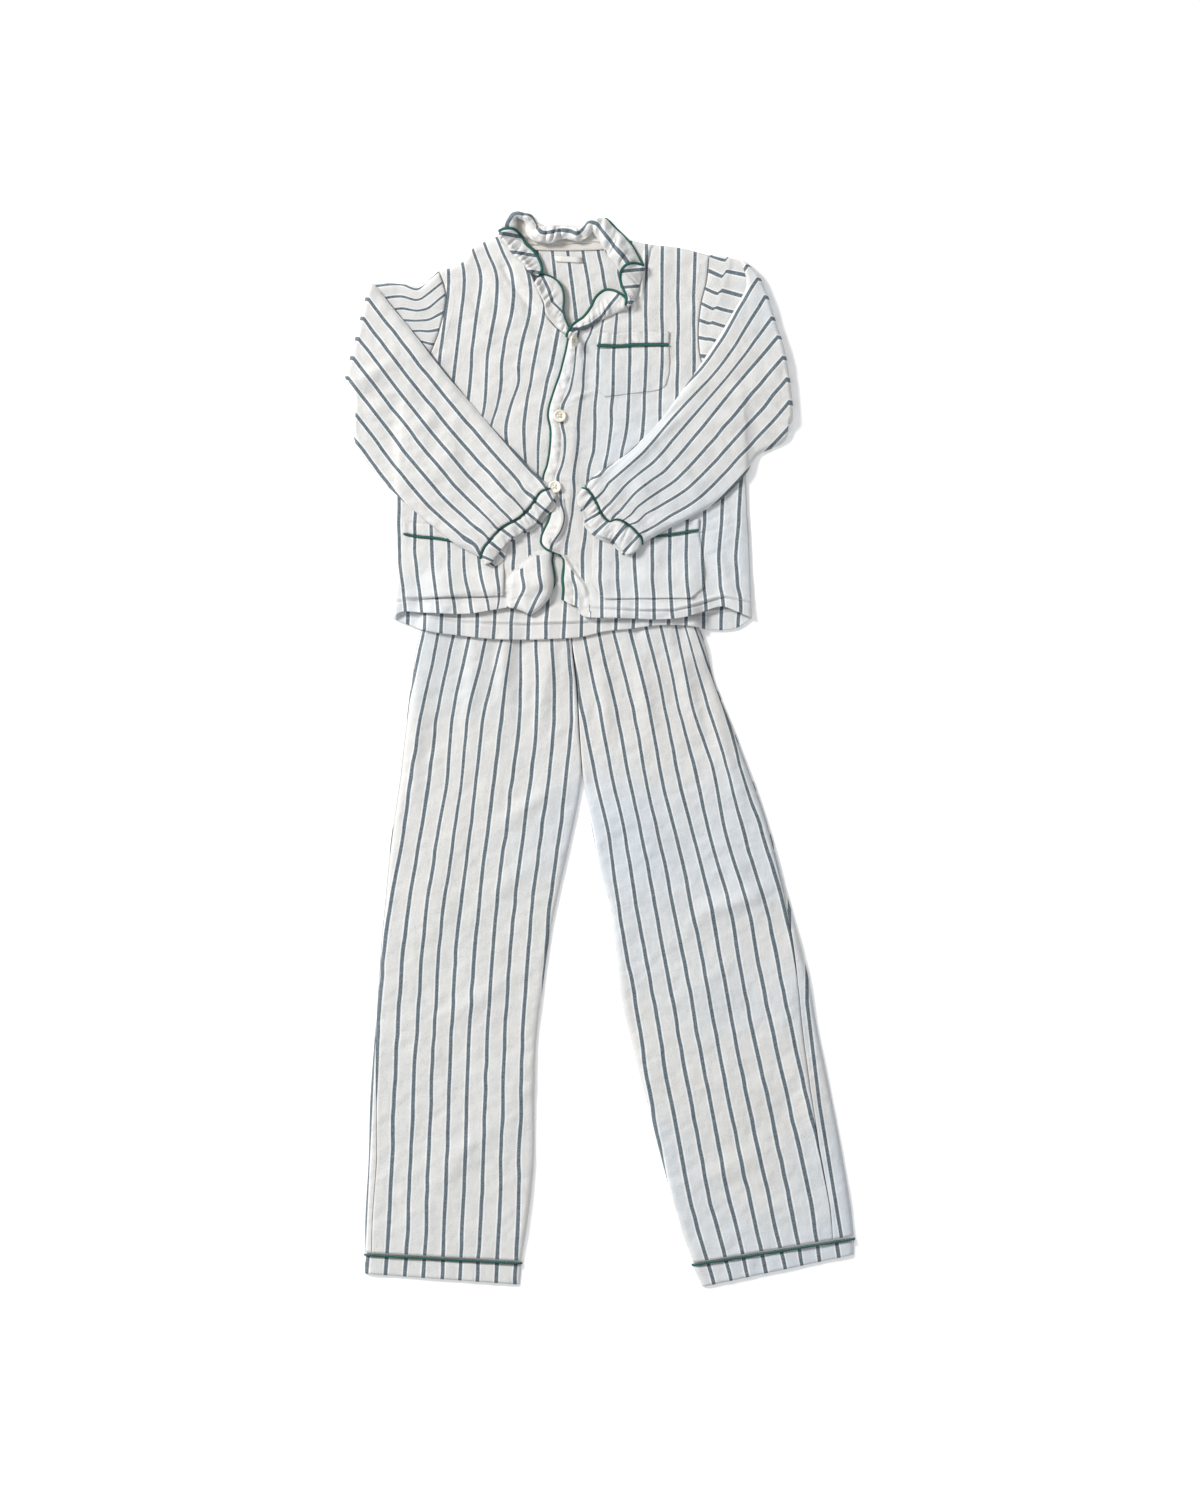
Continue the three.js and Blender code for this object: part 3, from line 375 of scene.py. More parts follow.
def parted(number, across, shift):
    """Stripe numbers that jump where across changes sign, with a plain strip beside the crease."""
    number = number - np.where(across > 0, shift, 0)
    return np.where((np.abs(across) < HELD) & (shift > 0.05), np.floor(number) + 0.5, number)


def normals_of(grid, ring):
    """Unit normals of a grid, or of a closed ring, that point up on its first columns."""
    if ring:
        wide = np.concatenate([grid[:, -1:], grid, grid[:, :1]], 1)
        du = wide[:, 2:] - wide[:, :-2]
    else:
        du = np.gradient(grid, axis=1)
    dv = np.gradient(grid, axis=0)
    n = np.cross(du, dv)
    size = np.linalg.norm(n, axis=2, keepdims=True)
    n = np.where(size > 1e-9, n / np.maximum(size, 1e-9), [0.0, 0.0, 1.0])
    top = n[:, : max(grid.shape[1] // 3, 1), 2]
    return n if top.mean() > 0 else -n


def linked(name, data):
    """New object of the scene with that data."""
    piece = bpy.data.objects.new(name, data)
    bpy.context.scene.collection.objects.link(piece)
    return piece


def mesh_piece(name, points, faces, uv, material):
    """Mesh object from points in millimetres, four-sided faces and one map coordinate for each point.

    A corner whose stripe number is midway between two stripes takes the side that its face is on.
    """
    mesh = bpy.data.meshes.new(name)
    mesh.vertices.add(len(points))
    mesh.vertices.foreach_set("co", ((points - MIDDLE) * MM).astype(np.float32).ravel())
    mesh.loops.add(faces.size)
    mesh.loops.foreach_set("vertex_index", faces.astype(np.int32).ravel())
    mesh.polygons.add(len(faces))
    mesh.polygons.foreach_set("loop_start", np.arange(len(faces), dtype=np.int32) * faces.shape[1])
    mesh.polygons.foreach_set("use_smooth", np.ones(len(faces), bool))
    corners = uv[faces]
    held = np.abs(corners[..., 0] % 1 - 0.5) < 1e-9
    if held.any():
        free = (corners[..., 0] * ~held).sum(1) / np.maximum((~held).sum(1), 1)
        free = np.where(held.all(1), corners[:, 0, 0], free)
        corners[..., 0] += held * np.round(free[:, None] - corners[..., 0])
    layer = mesh.uv_layers.new(name="UVMap")
    layer.data.foreach_set("uv", corners.astype(np.float32).ravel())
    mesh.materials.append(material)
    mesh.update(calc_edges=True)
    mesh.validate()
    return linked(name, mesh)


def placed(piece, slot, *nodes):
    """The piece on the one body, with the solids that it stands for hidden; slot, its finish, is not used."""
    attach(piece, "root")
    if nodes:
        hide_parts(*nodes)
    return piece


def quads(number):
    """Four-sided faces between the rows and columns of a grid of point numbers."""
    return np.stack([number[:-1, :-1], number[:-1, 1:], number[1:, 1:], number[1:, :-1]], -1).reshape(-1, 4)


def fans(first, last):
    """Four-sided faces that close the two end rings of a tube."""
    return [[ring[0], ring[k], ring[k + 1], ring[k + 2]][::turn]
            for ring, turn in ((first, 1), (last, -1)) for k in range(1, len(ring) - 2, 2)]


def round_angles(sides):
    return 2 * np.pi * np.arange(sides) / sides


def shell(name, grid, uv, material, ring=False):
    """Closed cloth of even wall round a grid of middle points."""
    rows, columns = grid.shape[:2]
    n = normals_of(grid, ring) * THICK / 2
    points = np.concatenate([(grid + n).reshape(-1, 3), (grid - n).reshape(-1, 3)])
    number = np.arange(rows * columns).reshape(rows, columns)
    if ring:
        number = np.concatenate([number, number[:, :1]], 1)
    under = rows * columns
    top = quads(number)
    faces = [top, top[:, ::-1] + under]

    def rim(line):
        p, q = line[:-1], line[1:]
        return np.stack([q, p, p + under, q + under], -1)

    faces.append(rim(number[0]))
    faces.append(rim(number[-1][::-1]))
    if not ring:
        faces.append(rim(number[::-1, 0]))
        faces.append(rim(number[:, -1]))
    faces = np.concatenate(faces)
    first = points[top[:, 0]]
    turn = np.cross(points[top[:, 1]] - first, points[top[:, 2]] - first)
    if (turn * n.reshape(-1, 3)[top[:, 0]]).sum() < 0:
        faces = faces[:, ::-1]
    flat = np.asarray(uv, float).reshape(-1, 2)
    return mesh_piece(name, points, faces, np.concatenate([flat, flat]), material)


def cloth(name, grid, uv, nodes, ring=False, material=None, slot="cloth"):
    """Sheet of cloth on a grid."""
    piece = placed(shell("cloth_" + name, grid, uv, material or striped, ring), slot, *nodes)


# Materials
def shader(name):
    material = bpy.data.materials.new(name)
    material.use_nodes = True
    tree = material.node_tree
    return material, tree, tree.nodes["Principled BSDF"]


def made(tree, kind, sockets, output=0, **settings):
    """Output of a new node; each of its sockets named here takes a value or a link."""
    node = tree.nodes.new(kind)
    for key, value in settings.items():
        setattr(node, key, value)
    for socket, value in sockets.items():
        if isinstance(value, bpy.types.NodeSocket):
            tree.links.new(value, node.inputs[socket])
        else:
            node.inputs[socket].default_value = value
    return node.outputs[output]


def maths(tree, operation, *values):
    return made(tree, "ShaderNodeMath", dict(enumerate(values)), operation=operation)


def mixed(tree, share, first, second):
    return made(tree, "ShaderNodeMix", {0: share, 6: first, 7: second}, 2, data_type="RGBA")


def ramped(tree, value, low, high):
    return made(tree, "ShaderNodeMapRange", {0: value, 1: low, 2: high}, interpolation_type="SMOOTHSTEP")


def clouds(tree, vector, scale, detail=2.0):
    return made(tree, "ShaderNodeTexNoise", {"Vector": vector, "Scale": scale, "Detail": detail})


def bumped(tree, surface, height, strength, distance):
    """Bump from heights; the distance is in metres."""
    bump = made(tree, "ShaderNodeBump", {"Strength": strength, "Distance": distance, "Height": height})
    tree.links.new(bump, surface.inputs["Normal"])


# Colours of the cloth, its stripes, their pale borders and the flecks in both; the cool colour is partly
# painted light, the tint of cool window light that the cloth takes on towards +x
WARM = (0.75, 0.745, 0.73, 1.0)
COOL_AND_SKYLIT = (0.685, 0.735, 0.785, 1.0)
SLATE = (0.062, 0.098, 0.128, 1.0)
SLATE_FLECK = (0.29, 0.35, 0.39, 1.0)
BORDER = (0.90, 0.91, 0.91, 1.0)
FLECK = (0.55, 0.55, 0.55, 1.0)
# Where a stripe and its border end, from the stripe's middle: last full and first clear distance
STRIPE_ENDS = (1.8, 2.45)
BORDER_ENDS = (3.3, 4.3)
# Waves of the weave in a millimetre of the map, as an angle
WEAVE = 7.0


def cloth_material(name, warm, cool_and_skylit, shown):
    """Woven cotton; the map's first number counts stripes, its second runs along them in the same unit."""
    material, tree, surface = shader(name)

    def times(first, second):
        return maths(tree, "MULTIPLY", first, second)

    def plus(first, second):
        return maths(tree, "ADD", first, second)

    def within(distance, ends):
        return maths(tree, "SUBTRACT", 1.0, ramped(tree, distance, *ends))

    def wave(place):
        return maths(tree, "SINE", times(times(place, PITCH), WEAVE))

    place = made(tree, "ShaderNodeTexCoord", {}, "Object")
    across, along = made(tree, "ShaderNodeSeparateXYZ", {
        0: made(tree, "ShaderNodeUVMap", {}, uv_map="UVMap")}).node.outputs[:2]
    east = made(tree, "ShaderNodeSeparateXYZ", {0: place})
    # Painted light: a gradient towards +x turns the cloth to its cool colour, standing in for cool window
    # light from that side; the noise on top is random tone
    tone_and_skylight = plus(clouds(tree, place, 4.0, 1.0), times(east, 0.35))
    colour = mixed(tree, ramped(tree, tone_and_skylight, 0.45, 0.72), warm, cool_and_skylit)
    fleck = ramped(tree, clouds(tree, place, 620.0, 1.0), 0.3, 0.75)
    if shown:
        phase = maths(tree, "SUBTRACT", maths(tree, "FRACT", plus(across, 0.5)), 0.5)
        away = times(maths(tree, "ABSOLUTE", phase), PITCH)
        colour = mixed(tree, times(within(away, BORDER_ENDS), 0.8), colour, BORDER)
        dyed = mixed(tree, times(fleck, 0.34), SLATE, SLATE_FLECK)
        colour = mixed(tree, times(within(away, STRIPE_ENDS), 0.96), colour, dyed)
    shade = mixed(tree, times(fleck, 0.1), colour, FLECK)
    tree.links.new(shade, surface.inputs["Base Color"])
    weave = times(wave(across), wave(along))
    crinkle = plus(times(clouds(tree, place, 520.0, 2.0), 0.38), times(clouds(tree, place, 60.0, 1.0), 1.5))
    bumped(tree, surface, plus(times(weave, 0.06), times(crinkle, 0.9)), 0.9, 0.0022)
    tree.links.new(plus(times(fleck, 0.08), 0.84), surface.inputs["Roughness"])
    surface.inputs["Specular IOR Level"].default_value = 0.2
    surface.inputs["Sheen Weight"].default_value = 0.15
    surface.inputs["Sheen Roughness"].default_value = 0.5
    return material


def plain_material(name, first, second, scale, roughness, depth):
    """Finish with soft lumps between two colours; the bump's depth is in metres."""
    material, tree, surface = shader(name)
    lumps = clouds(tree, made(tree, "ShaderNodeTexCoord", {}, "Object"), scale)
    tree.links.new(mixed(tree, ramped(tree, lumps, 0.35, 0.65), first, second), surface.inputs["Base Color"])
    bumped(tree, surface, lumps, 0.6, depth)
    surface.inputs["Roughness"].default_value = roughness
    return material


striped = cloth_material("striped_cotton", WARM, COOL_AND_SKYLIT, True)
unstriped = cloth_material("plain_cotton", (0.72, 0.69, 0.64, 1.0), (0.70, 0.70, 0.69, 1.0), False)
piping = plain_material(
    "corded_edge", (0.004, 0.064, 0.053, 1.0), (0.013, 0.112, 0.093, 1.0), 1400.0, 0.75, 0.0004)
label = plain_material("woven_tape", (0.68, 0.665, 0.63, 1.0), (0.74, 0.73, 0.70, 1.0), 900.0, 0.8, 0.0002)
shell_button = plain_material(
    "shirt_button", (0.80, 0.74, 0.60, 1.0), (0.88, 0.85, 0.76, 1.0), 60.0, 0.28, 0.0001)
thread = plain_material("sewing_thread", (0.58, 0.56, 0.53, 1.0), (0.70, 0.68, 0.65, 1.0), 900.0, 0.8, 0.0002)


CORD_SIDES = 10
CORD_TIP = 0.45
CORD_WOBBLE = 0.05


def cord(name, path, node, stamped, wide=PIPE_WIDE, high=PIPE_HIGH, material=None, closed=False,
         slot="piping"):
    """Oval cord along a path of middle points, with rounded ends."""
    count = len(path)
    way = np.roll(path, -1, 0) - np.roll(path, 1, 0) if closed else np.gradient(path, axis=0)
    way /= np.maximum(np.linalg.norm(way, axis=1), 1e-9)[:, None]
    level = np.stack([-way[:, 1], way[:, 0], np.zeros(count)], 1)
    size = np.linalg.norm(level, axis=1)
    for k in range(count):
        if size[k] < 0.3 and k > 0:
            level[k] = level[k - 1]
        else:
            level[k] /= max(size[k], 1e-9)
    up = np.cross(way, level)
    angle = round_angles(CORD_SIDES)
    wide = np.broadcast_to(wide, count)[:, None, None]
    along = lengths(path)
    wobble = 1 + CORD_WOBBLE * np.sin(along * 2.1)[:, None, None]
    ring = (level[:, None] * np.cos(angle)[None, :, None] * wide
            + up[:, None] * np.sin(angle)[None, :, None] * high) * wobble
    if not closed:
        ring[0] *= CORD_TIP
        ring[-1] *= CORD_TIP
    points = (path[:, None] + ring).reshape(-1, 3)
    number = np.arange(count * CORD_SIDES).reshape(count, CORD_SIDES)
    around = np.concatenate([number, number[:, :1]], 1)
    if closed:
        faces = quads(np.concatenate([around, around[:1]], 0))
    else:
        faces = np.concatenate([quads(around), fans(number[0], number[-1])])
    first = points[faces[:, 0]]
    turn = np.cross(points[faces[:, 1]] - first, points[faces[:, 2]] - first)
    middle = np.repeat(path, CORD_SIDES, 0)[faces[:, 0]]
    if (turn * (first - middle)).sum() < 0:
        faces = faces[:, ::-1]
    uv = np.stack([np.repeat(along, CORD_SIDES) / PITCH, np.tile(angle, count)], 1)
    placed(mesh_piece(name, points, faces, uv, material or piping), slot, *([node] if node else []))
    top = path + np.array([0, 0, high - THICK / 2])
    reach = level * wide[:, 0] * 0.8
    stamp(stamped, np.stack([top - reach, top + reach], 1))


def resting(line, names, height, extra=0.0):
    """Line laid on the pieces stamped under those names."""
    return lifted(line, below(line[:, 0], line[:, 1], names, 1.0) + height + extra)


# Trouser legs, columns: outer x, outer y, inner x, inner y, how far the back wraps over the side
LEG_RIGHT = [
    [-204, 169, -35, 169, 0], [-218, 132, -34, 132, 0], [-226, 79, -28, 79, 0], [-233, 24, -25, 24, 0],
    [-240, -36, -22, -36, 0], [-247, -84, -31, -86, 0], [-253, -132, -42, -136, 0],
    [-258, -186, -54, -190, 0], [-262, -228, -62, -233, 0], [-266, -288, -70, -293, 0],
    [-270, -348, -77, -354, 1], [-275, -420, -79, -426, 7], [-277, -492, -80, -499, 9],
    [-281, -564, -88, -572, 8], [-281, -602, -95, -612, 7]]
LEG_LEFT = [
    [108, 169, -35, 169, 0], [124, 132, -34, 132, 0], [137, 82, -28, 79, 0], [157, 31, -25, 24, 0],
    [180, -30, -20, -38, 0], [196, -74, -11, -86, 0], [210, -122, -1, -138, 1], [224, -175, 13, -192, 2],
    [238, -226, 20, -246, 7], [250, -276, 26, -300, 13], [260, -334, 41, -362, 17],
    [274, -402, 59, -432, 22], [288, -474, 77, -502, 25], [300, -546, 97, -574, 24],
    [304, -582, 112, -614, 25]]
# Where marked stripes cross each height
STRIPES_LEG_RIGHT = [
    [132, -195, -158, -117, -95, -39], [42, -214, -176, -139, -96, -34], [-26, -226, -182, -147, -104, -40],
    [-96, -235, -194, -155, -113, -48], [-180, -250, -206, -166, -123, -59],
    [-600, -278, -232, -188, -145, -78]]
STRIPES_LEG_LEFT = [
    [112, -14, 24, 64, 99, 126], [42, 0, 41, 80, 114, 151], [-26, 13, 53, 92, 136, 170],
    [-96, 29, 69, 110, 149, 193], [-180, 43, 86, 131, 175, 218], [-302, 65, 110, 154, 199, 245],
    [-425, 86, 133, 178, 226, 274], [-547, 110, 157, 205, 253, 301], [-600, 125, 170, 217, 262, 308]]
FOLDS_LEG_RIGHT = [
    [-150, 130, -160, 20, 9, 2.0], [-110, 140, -120, 60, 7, 2.2], [-95, 135, -98, 40, 6, -1.2],
    [-60, 120, -75, 20, 9, 1.6], [-215, 90, -226, -60, 9, 1.6], [-45, -40, -120, -90, 10, 1.6],
    [-60, -120, -150, -190, 12, 1.2], [-230, -150, -150, -230, 14, 1.4], [-100, -260, -190, -330, 14, 1.3],
    [-240, -330, -170, -420, 14, 1.2], [-120, -440, -200, -520, 15, 1.2], [-250, -520, -180, -590, 12, 1.2]]
FOLDS_LEG_LEFT = [
    [0, 120, 10, 10, 8, 1.4], [40, 130, 62, 20, 9, 1.8], [90, 130, 120, 20, 9, 2.0],
    [130, 60, 170, -60, 9, 1.8], [0, -60, 90, -110, 11, 1.7], [20, -150, 120, -190, 13, 1.4],
    [200, -170, 110, -200, 11, 2.4], [150, -120, 200, -200, 10, 1.6], [60, -260, 180, -300, 14, 1.3],
    [90, -380, 210, -420, 15, 1.3], [230, -360, 270, -480, 12, 1.4], [110, -520, 200, -480, 14, 1.6],
    [260, -560, 180, -540, 12, 1.2]]
MARKS_LEG_RIGHT = [0, 2, 4, 6, 9]
MARKS_LEG_LEFT = [0, 2, 4, 6, 8]
# The back's stripe beside the side seam, rows: y, then x
WRAP_RIGHT = [[-600, -348], [-262, -250]]
WRAP_LEFT = [[-600, -425, -302], [292, 263, 248]]
LEG_ROWS = 270
FLOOR_GAP = 0.45
LEAST = 1.25
PUFF = 3.0
EDGE_ROUND = 7.0
CROTCH = -38
FLY_HIGH = 0.9
FLY_WIDE = 5.0
FLY_STITCHES = [[-40, 133], [-39, 98], [-36, 62], [-35, 26], [-34, 12]]


def crossing(stripes, marks):
    """Stripe numbers of a grid whose stripes run up and down."""
    return lambda grid: stripe_at(grid[..., 1], grid[..., 0], stripes, marks)


def leg(side, table, number, folds, wrap_stripe):
    """Front of a leg, and its back, which wraps over the outer side as far as the table says."""
    table = np.array(table, float)
    outer = curve(table[:, :2], LEG_ROWS)
    inner = curve(table[:, 2:4], LEG_ROWS)
    wrap = np.maximum(np.interp(-outer[:, 1], -table[:, 1], table[:, 4]), 0.3)
    sign = -1 if side == "right" else 1
    inner[:, 0] += np.where(inner[:, 1] > CROTCH - 30, sign * SEAM, 0)
    way = inner - outer
    width = np.linalg.norm(way, axis=1)
    way /= width[:, None]

    def at(distance):
        return outer[:, None] + way[:, None] * distance[..., None]

    def puffed(distance):
        points = at(distance)
        x, y = points[..., 0], points[..., 1]
        within = width[:, None] - distance
        shape = rounded(distance, EDGE_ROUND) * rounded(within, 2.0 + (EDGE_ROUND - 2.0) * eased(-y, 10, 60))
        gather = noise(x, y, 11, 140, 13, 88) * eased(y, 40, 150) * 4.4
        lumps = (2.4 * noise(x, y, 3, 110, 45, 70) + 1.1 * noise(x, y, 4, 50, 26, 40)
                 + 0.55 * noise(x, y, 8, 22, 14, 20) + 0.8 * creased(x, y, 9, 34, 15, 35))
        if side == "right":
            fly = eased(within, 0.3, 1.5) * (1 - eased(within, FLY_WIDE, FLY_WIDE + 1.2)) * eased(y, 0, 20)
            seam = FLY_HIGH * fly + pulled(x, y, FLY_STITCHES, 5, 11, 0.6, 6)
        else:
            seam = pulled(x, y, outer + way * (wrap + 2)[:, None], 6, 14, 0.8, 5)
        return lifted(points, LEAST + shape * (PUFF + lumps + gather + 1.9 * ridges(x, y, folds) + seam))

    share = (1 - crowded(78, 0.06, 12)[::-1])[None]
    front = puffed((wrap + 2 * SEAM)[:, None] * (1 - share) + width[:, None] * share)
    cloth("trouser_front_" + side, front, woven(number(front), front[..., 1]),
          ["trouser_front_" + side])
    stamp("trousers", front)

    over = puffed(wrap[:, None] * np.linspace(1, 0, 11))
    bend = lifted(over[:, -1:, :2] - way[:, None] * 0.35, 0.8)
    under = lifted(at(width[:, None] * np.linspace(0, 1, 24)), FLOOR_GAP)
    grid = np.concatenate([over, bend, under], 1)
    line = np.interp(grid[..., 1], *wrap_stripe)
    number = (grid[..., 0] - line) / PITCH
    cloth("trouser_back_" + side, grid, woven(number, grid[..., 1]),
          ["trouser_back_" + side])
    stamp("trousers", over)


leg("right", LEG_RIGHT, crossing(STRIPES_LEG_RIGHT, MARKS_LEG_RIGHT), FOLDS_LEG_RIGHT, WRAP_RIGHT)
leg("left", LEG_LEFT, crossing(STRIPES_LEG_LEFT, MARKS_LEG_LEFT), FOLDS_LEG_LEFT, WRAP_LEFT)


def tube_ring(upper, lower):
    """Ring of a flattened tube from the grids of its two layers."""
    def turn(end, inner):
        way = upper[:, end, :2] - upper[:, inner, :2]
        way /= np.maximum(np.linalg.norm(way, axis=1, keepdims=True), 1e-9)
        point = (upper[:, end] + lower[:, end]) / 2
        point[:, :2] += way * np.abs(upper[:, end, 2:] - lower[:, end, 2:]) / 2
        return point[:, None]
    return np.concatenate([upper, turn(-1, -2), lower[:, ::-1], turn(0, 1)], 1)


def ring_uv(number, along):
    """Map coordinates for a ring made by tube_ring."""
    grid = woven(number, along)
    return np.concatenate([grid, grid[:, -1:], grid[:, ::-1], grid[:, :1]], 1)


def turned_band(name, high, low, rows, columns, loft, number):
    """Turned hem or waistband: a flattened ring between two lines, lying on the floor."""
    grid = lifted(between(curve(high, columns), curve(low, columns), rows).swapaxes(0, 1), FLOOR_GAP)
    left, right, top, end = edge_distance(grid)
    rise = 1.3 + loft * rounded(left, 6) * rounded(right, 6) * (0.6 + 0.4 * rounded(top, 4) * rounded(end, 4))
    pucker = noise(left, top, 21, 9, 60) * 1.2 * rounded(left, 6) * rounded(right, 6)
    upper = raised(grid, rise + pucker)
    cloth(name, tube_ring(upper, grid), ring_uv(number(grid), grid[..., 1]), [name], ring=True)
    stamp("trousers", upper)


WAIST_PITCH = 17.0
turned_band("waistband", [[-200, 200], [104, 200]], [[-203, 170.5], [106, 170.5]], 11, 100, 2.0,
            lambda grid: grid[..., 0] / WAIST_PITCH)
HEM_HIGH = {"right": [[-281, -607], [-95, -617]], "left": [[304, -588], [112, -619]]}
HEM_LOW = {"right": [[-281, -628], [-97, -641]], "left": [[304, -605], [124, -643.5]]}
turned_band("hem_band_right", HEM_HIGH["right"], HEM_LOW["right"], 9, 63, 2.2,
            crossing(STRIPES_LEG_RIGHT, MARKS_LEG_RIGHT))
turned_band("hem_band_left", HEM_HIGH["left"], HEM_LOW["left"], 9, 63, 2.2,
            crossing(STRIPES_LEG_LEFT, MARKS_LEG_LEFT))


def cord_round(name, line, names, rise, node, wide=PIPE_WIDE):
    """Cord round a flattened tube, along a line across it."""
    low = resting(line, names, PIPE_HIGH)
    left = lengths(line)
    lift = rise * rounded(left, 6) * rounded(left[-1] - left, 6) + 2 * PIPE_HIGH
    high = low + np.stack([0 * left, 0 * left, lift], 1)
    turn = []
    for end, inner in ((-1, -2), (0, 1)):
        way = line[end, :2] - line[inner, :2]
        way /= np.linalg.norm(way)
        point = (low[end] + high[end]) / 2
        point[:2] += way * PIPE_HIGH
        turn.append(point)
    path = np.vstack([high, turn[0], low[::-1], turn[1]])
    cord(name, path, node, "sleeves" if names else "trousers", wide=wide, closed=True)


for side, line in HEM_HIGH.items():
    line = curve(line, 60)
    line[:, 1] += PIPE_WIDE + 0.3
    cord_round("cord_hem_" + side, line, [], 3.4, "hem_piping_" + side)

# Jacket outlines, columns: x, y
ARM_RIGHT = [[-235, 425], [-216, 450], [-202, 479], [-191, 510], [-185, 546], [-193, 574]]
ARM_LEFT = [[170, 430], [146, 438], [124, 461], [118, 493], [121, 533], [128, 563], [131, 593]]
SIDE_RIGHT = [[-248, 157], [-245, 192], [-244, 228], [-244, 300], [-241, 360], [-235, 425]]
SIDE_LEFT = [[182, 158], [181, 192], [179, 246], [176, 300], [174, 372], [170, 430]]
BACK_HEM = [
    [-248, 157], [-209, 143], [-168, 137], [-130, 133], [-92, 132], [-54, 133], [-24, 135], [7, 142],
    [37, 145], [67, 149], [103, 149], [134, 144], [163, 146], [182, 158]]
BACK_TOP = [
    [-193, 574], [-169, 580], [-146, 598], [-124, 606], [-104, 604], [-84, 601], [-36, 600], [0, 601],
    [26, 603], [54, 605], [95, 600], [131, 593]]
FRONT_HEM_RIGHT = [
    [-248, 158], [-239, 165], [-206, 164], [-157, 163], [-126, 168], [-108, 170], [-95, 167], [-84, 161]]
FRONT_TOP_RIGHT = [[-193, 574], [-174, 580], [-163, 587], [-152, 602], [-137, 610], [-121, 616]]
EDGE_RIGHT = [
    [-84, 161], [-72, 169], [-62, 180], [-57, 190], [-55, 203], [-56, 214], [-58, 228], [-55, 245],
    [-46, 270], [-38, 316], [-32, 396], [-26, 440], [-27, 470], [-38, 496]]
ROLL_RIGHT = [
    [-38, 496], [-53, 506], [-64, 520], [-68, 535], [-72, 545], [-77, 556], [-84, 572], [-92, 583],
    [-107, 599], [-121, 616]]
EDGE_LEFT = [
    [-43, 179], [-42, 193], [-43, 204], [-42, 219], [-43, 230], [-48, 236], [-56, 239], [-64, 242],
    [-69, 248], [-69, 255], [-66, 263], [-61, 273], [-58, 285], [-61, 300], [-67, 324], [-62, 342],
    [-59, 360], [-58, 384], [-61, 400], [-60, 410], [-53, 433], [-47, 450], [-42, 469], [-39, 482],
    [-36, 498]]
NECK_LEFT = [
    [-37, 500], [-14, 513], [6, 527], [19, 541], [26, 556], [22, 570], [12, 588], [4, 606], [14, 612]]
FRONT_HEM_LEFT = [
    [-43, 179], [-37, 175], [-31, 173], [-26, 170], [-25, 165], [-20, 160], [-6, 158], [9, 158], [40, 157],
    [67, 156], [97, 158], [119, 164], [146, 172], [161, 167], [182, 158]]
FRONT_TOP_LEFT = [[14, 612], [36, 611], [60, 606], [95, 602], [131, 593]]
STRIPES_BACK = [[604, -76, 107], [534, -71, 133], [148, -85, 124]]
STRIPES_FRONT_RIGHT = [
    [598, -216, -168, -151.8, -135, -117, -99, -81, -63],
    [573, -218, -163, -143.3, -125, -106.5, -87, -68, -50],
    [553, -219, -163, -143.3, -123.6, -104, -83, -64, -45],
    [525, -222, -166, -147.5, -126, -106.7, -84.2, -66.5, -47],
    [491, -227, -170, -151.8, -131.5, -113.7, -92.6, -73.7, -52.5],
    [463, -232, -173, -154, -135.5, -118, -96.8, -79.5, -58],
    [440, -237, -176, -156, -137, -119.5, -98.3, -84, -64],
    [412, -241, -179, -159, -139, -124, -108, -88.5, -69],
    [390, -242, -180, -161, -142, -130, -112.3, -90.2, -71.5],
    [324, -241, -181, -162, -144, -125, -104, -88, -75],
    [240, -241, -182, -164, -146, -125, -104, -85, -66],
    [212, -239, -180, -162, -143, -124, -104, -84, -63],
    [191, -236, -177, -158, -138, -121, -102, -82, -61],
    [181, -235, -175, -156, -135, -121, -107, -87, -66],
    [163, -233, -173, -153, -132, -124, -115, -95, -74]]
FLAP_LINE = [
    [-112, 203], [-107, 209], [-102, 215], [-94, 221], [-85, 230], [-78, 234], [-70, 238], [-62, 242]]
FLAP_SHIFT = 0.52
MARKS_FRONT_RIGHT = [-3, 0, 1, 2, 3, 4, 5, 6]
STRIPES_FRONT_LEFT = [
    [581, -32, -10, 8, 37, 94, 152], [526, -24, -5, 6, 36, 94, 150], [500, -26, -11, 1, 36, 94, 151],
    [485, -29, -18, -1, 36, 93, 153], [470, -30, -18.5, -2.6, 36, 93, 154],
    [450, -32, -20, -3, 35, 92.5, 153], [431, -36, -20.6, -3.8, 34.5, 92, 152.5],
    [412, -44.4, -24, -5.9, 34, 91, 152], [391, -45, -26, -6.5, 33, 90, 151],
    [375, -42.5, -26.4, -7, 31, 89, 150.5], [358, -42.3, -27.6, -8, 27, 86, 149],
    [342, -45, -29.5, -12, 25, 85, 149], [327, -50, -31, -14.5, 24, 85, 148],
    [310, -48, -31, -15.5, 23, 85, 147.5], [294, -46.4, -33, -16, 22, 84.5, 147],
    [284, -43.4, -34, -16.5, 22, 84.5, 146.5], [272, -44, -36.5, -17, 21, 84, 146],
    [260, -48.4, -38, -18, 21, 84, 145], [248, -56.5, -40, -19.5, 20.5, 84, 144],
    [234, -60, -41, -21, 20.3, 83.5, 143], [216, -60, -41, -21, 20.3, 84, 144],
    [206, -59, -40, -20.6, 20.6, 84, 144.5], [196, -56, -36.4, -19.5, 21, 85, 145],
    [184, -55, -35.4, -18.5, 22, 86, 147], [163, -56, -37, -17.5, 22.5, 87, 148]]
MARKS_FRONT_LEFT = [-1, 0, 1, 3, 6, 9]
ARM_ROWS = 64
SIDE_ROWS = crowded(132, 0.13, 26)
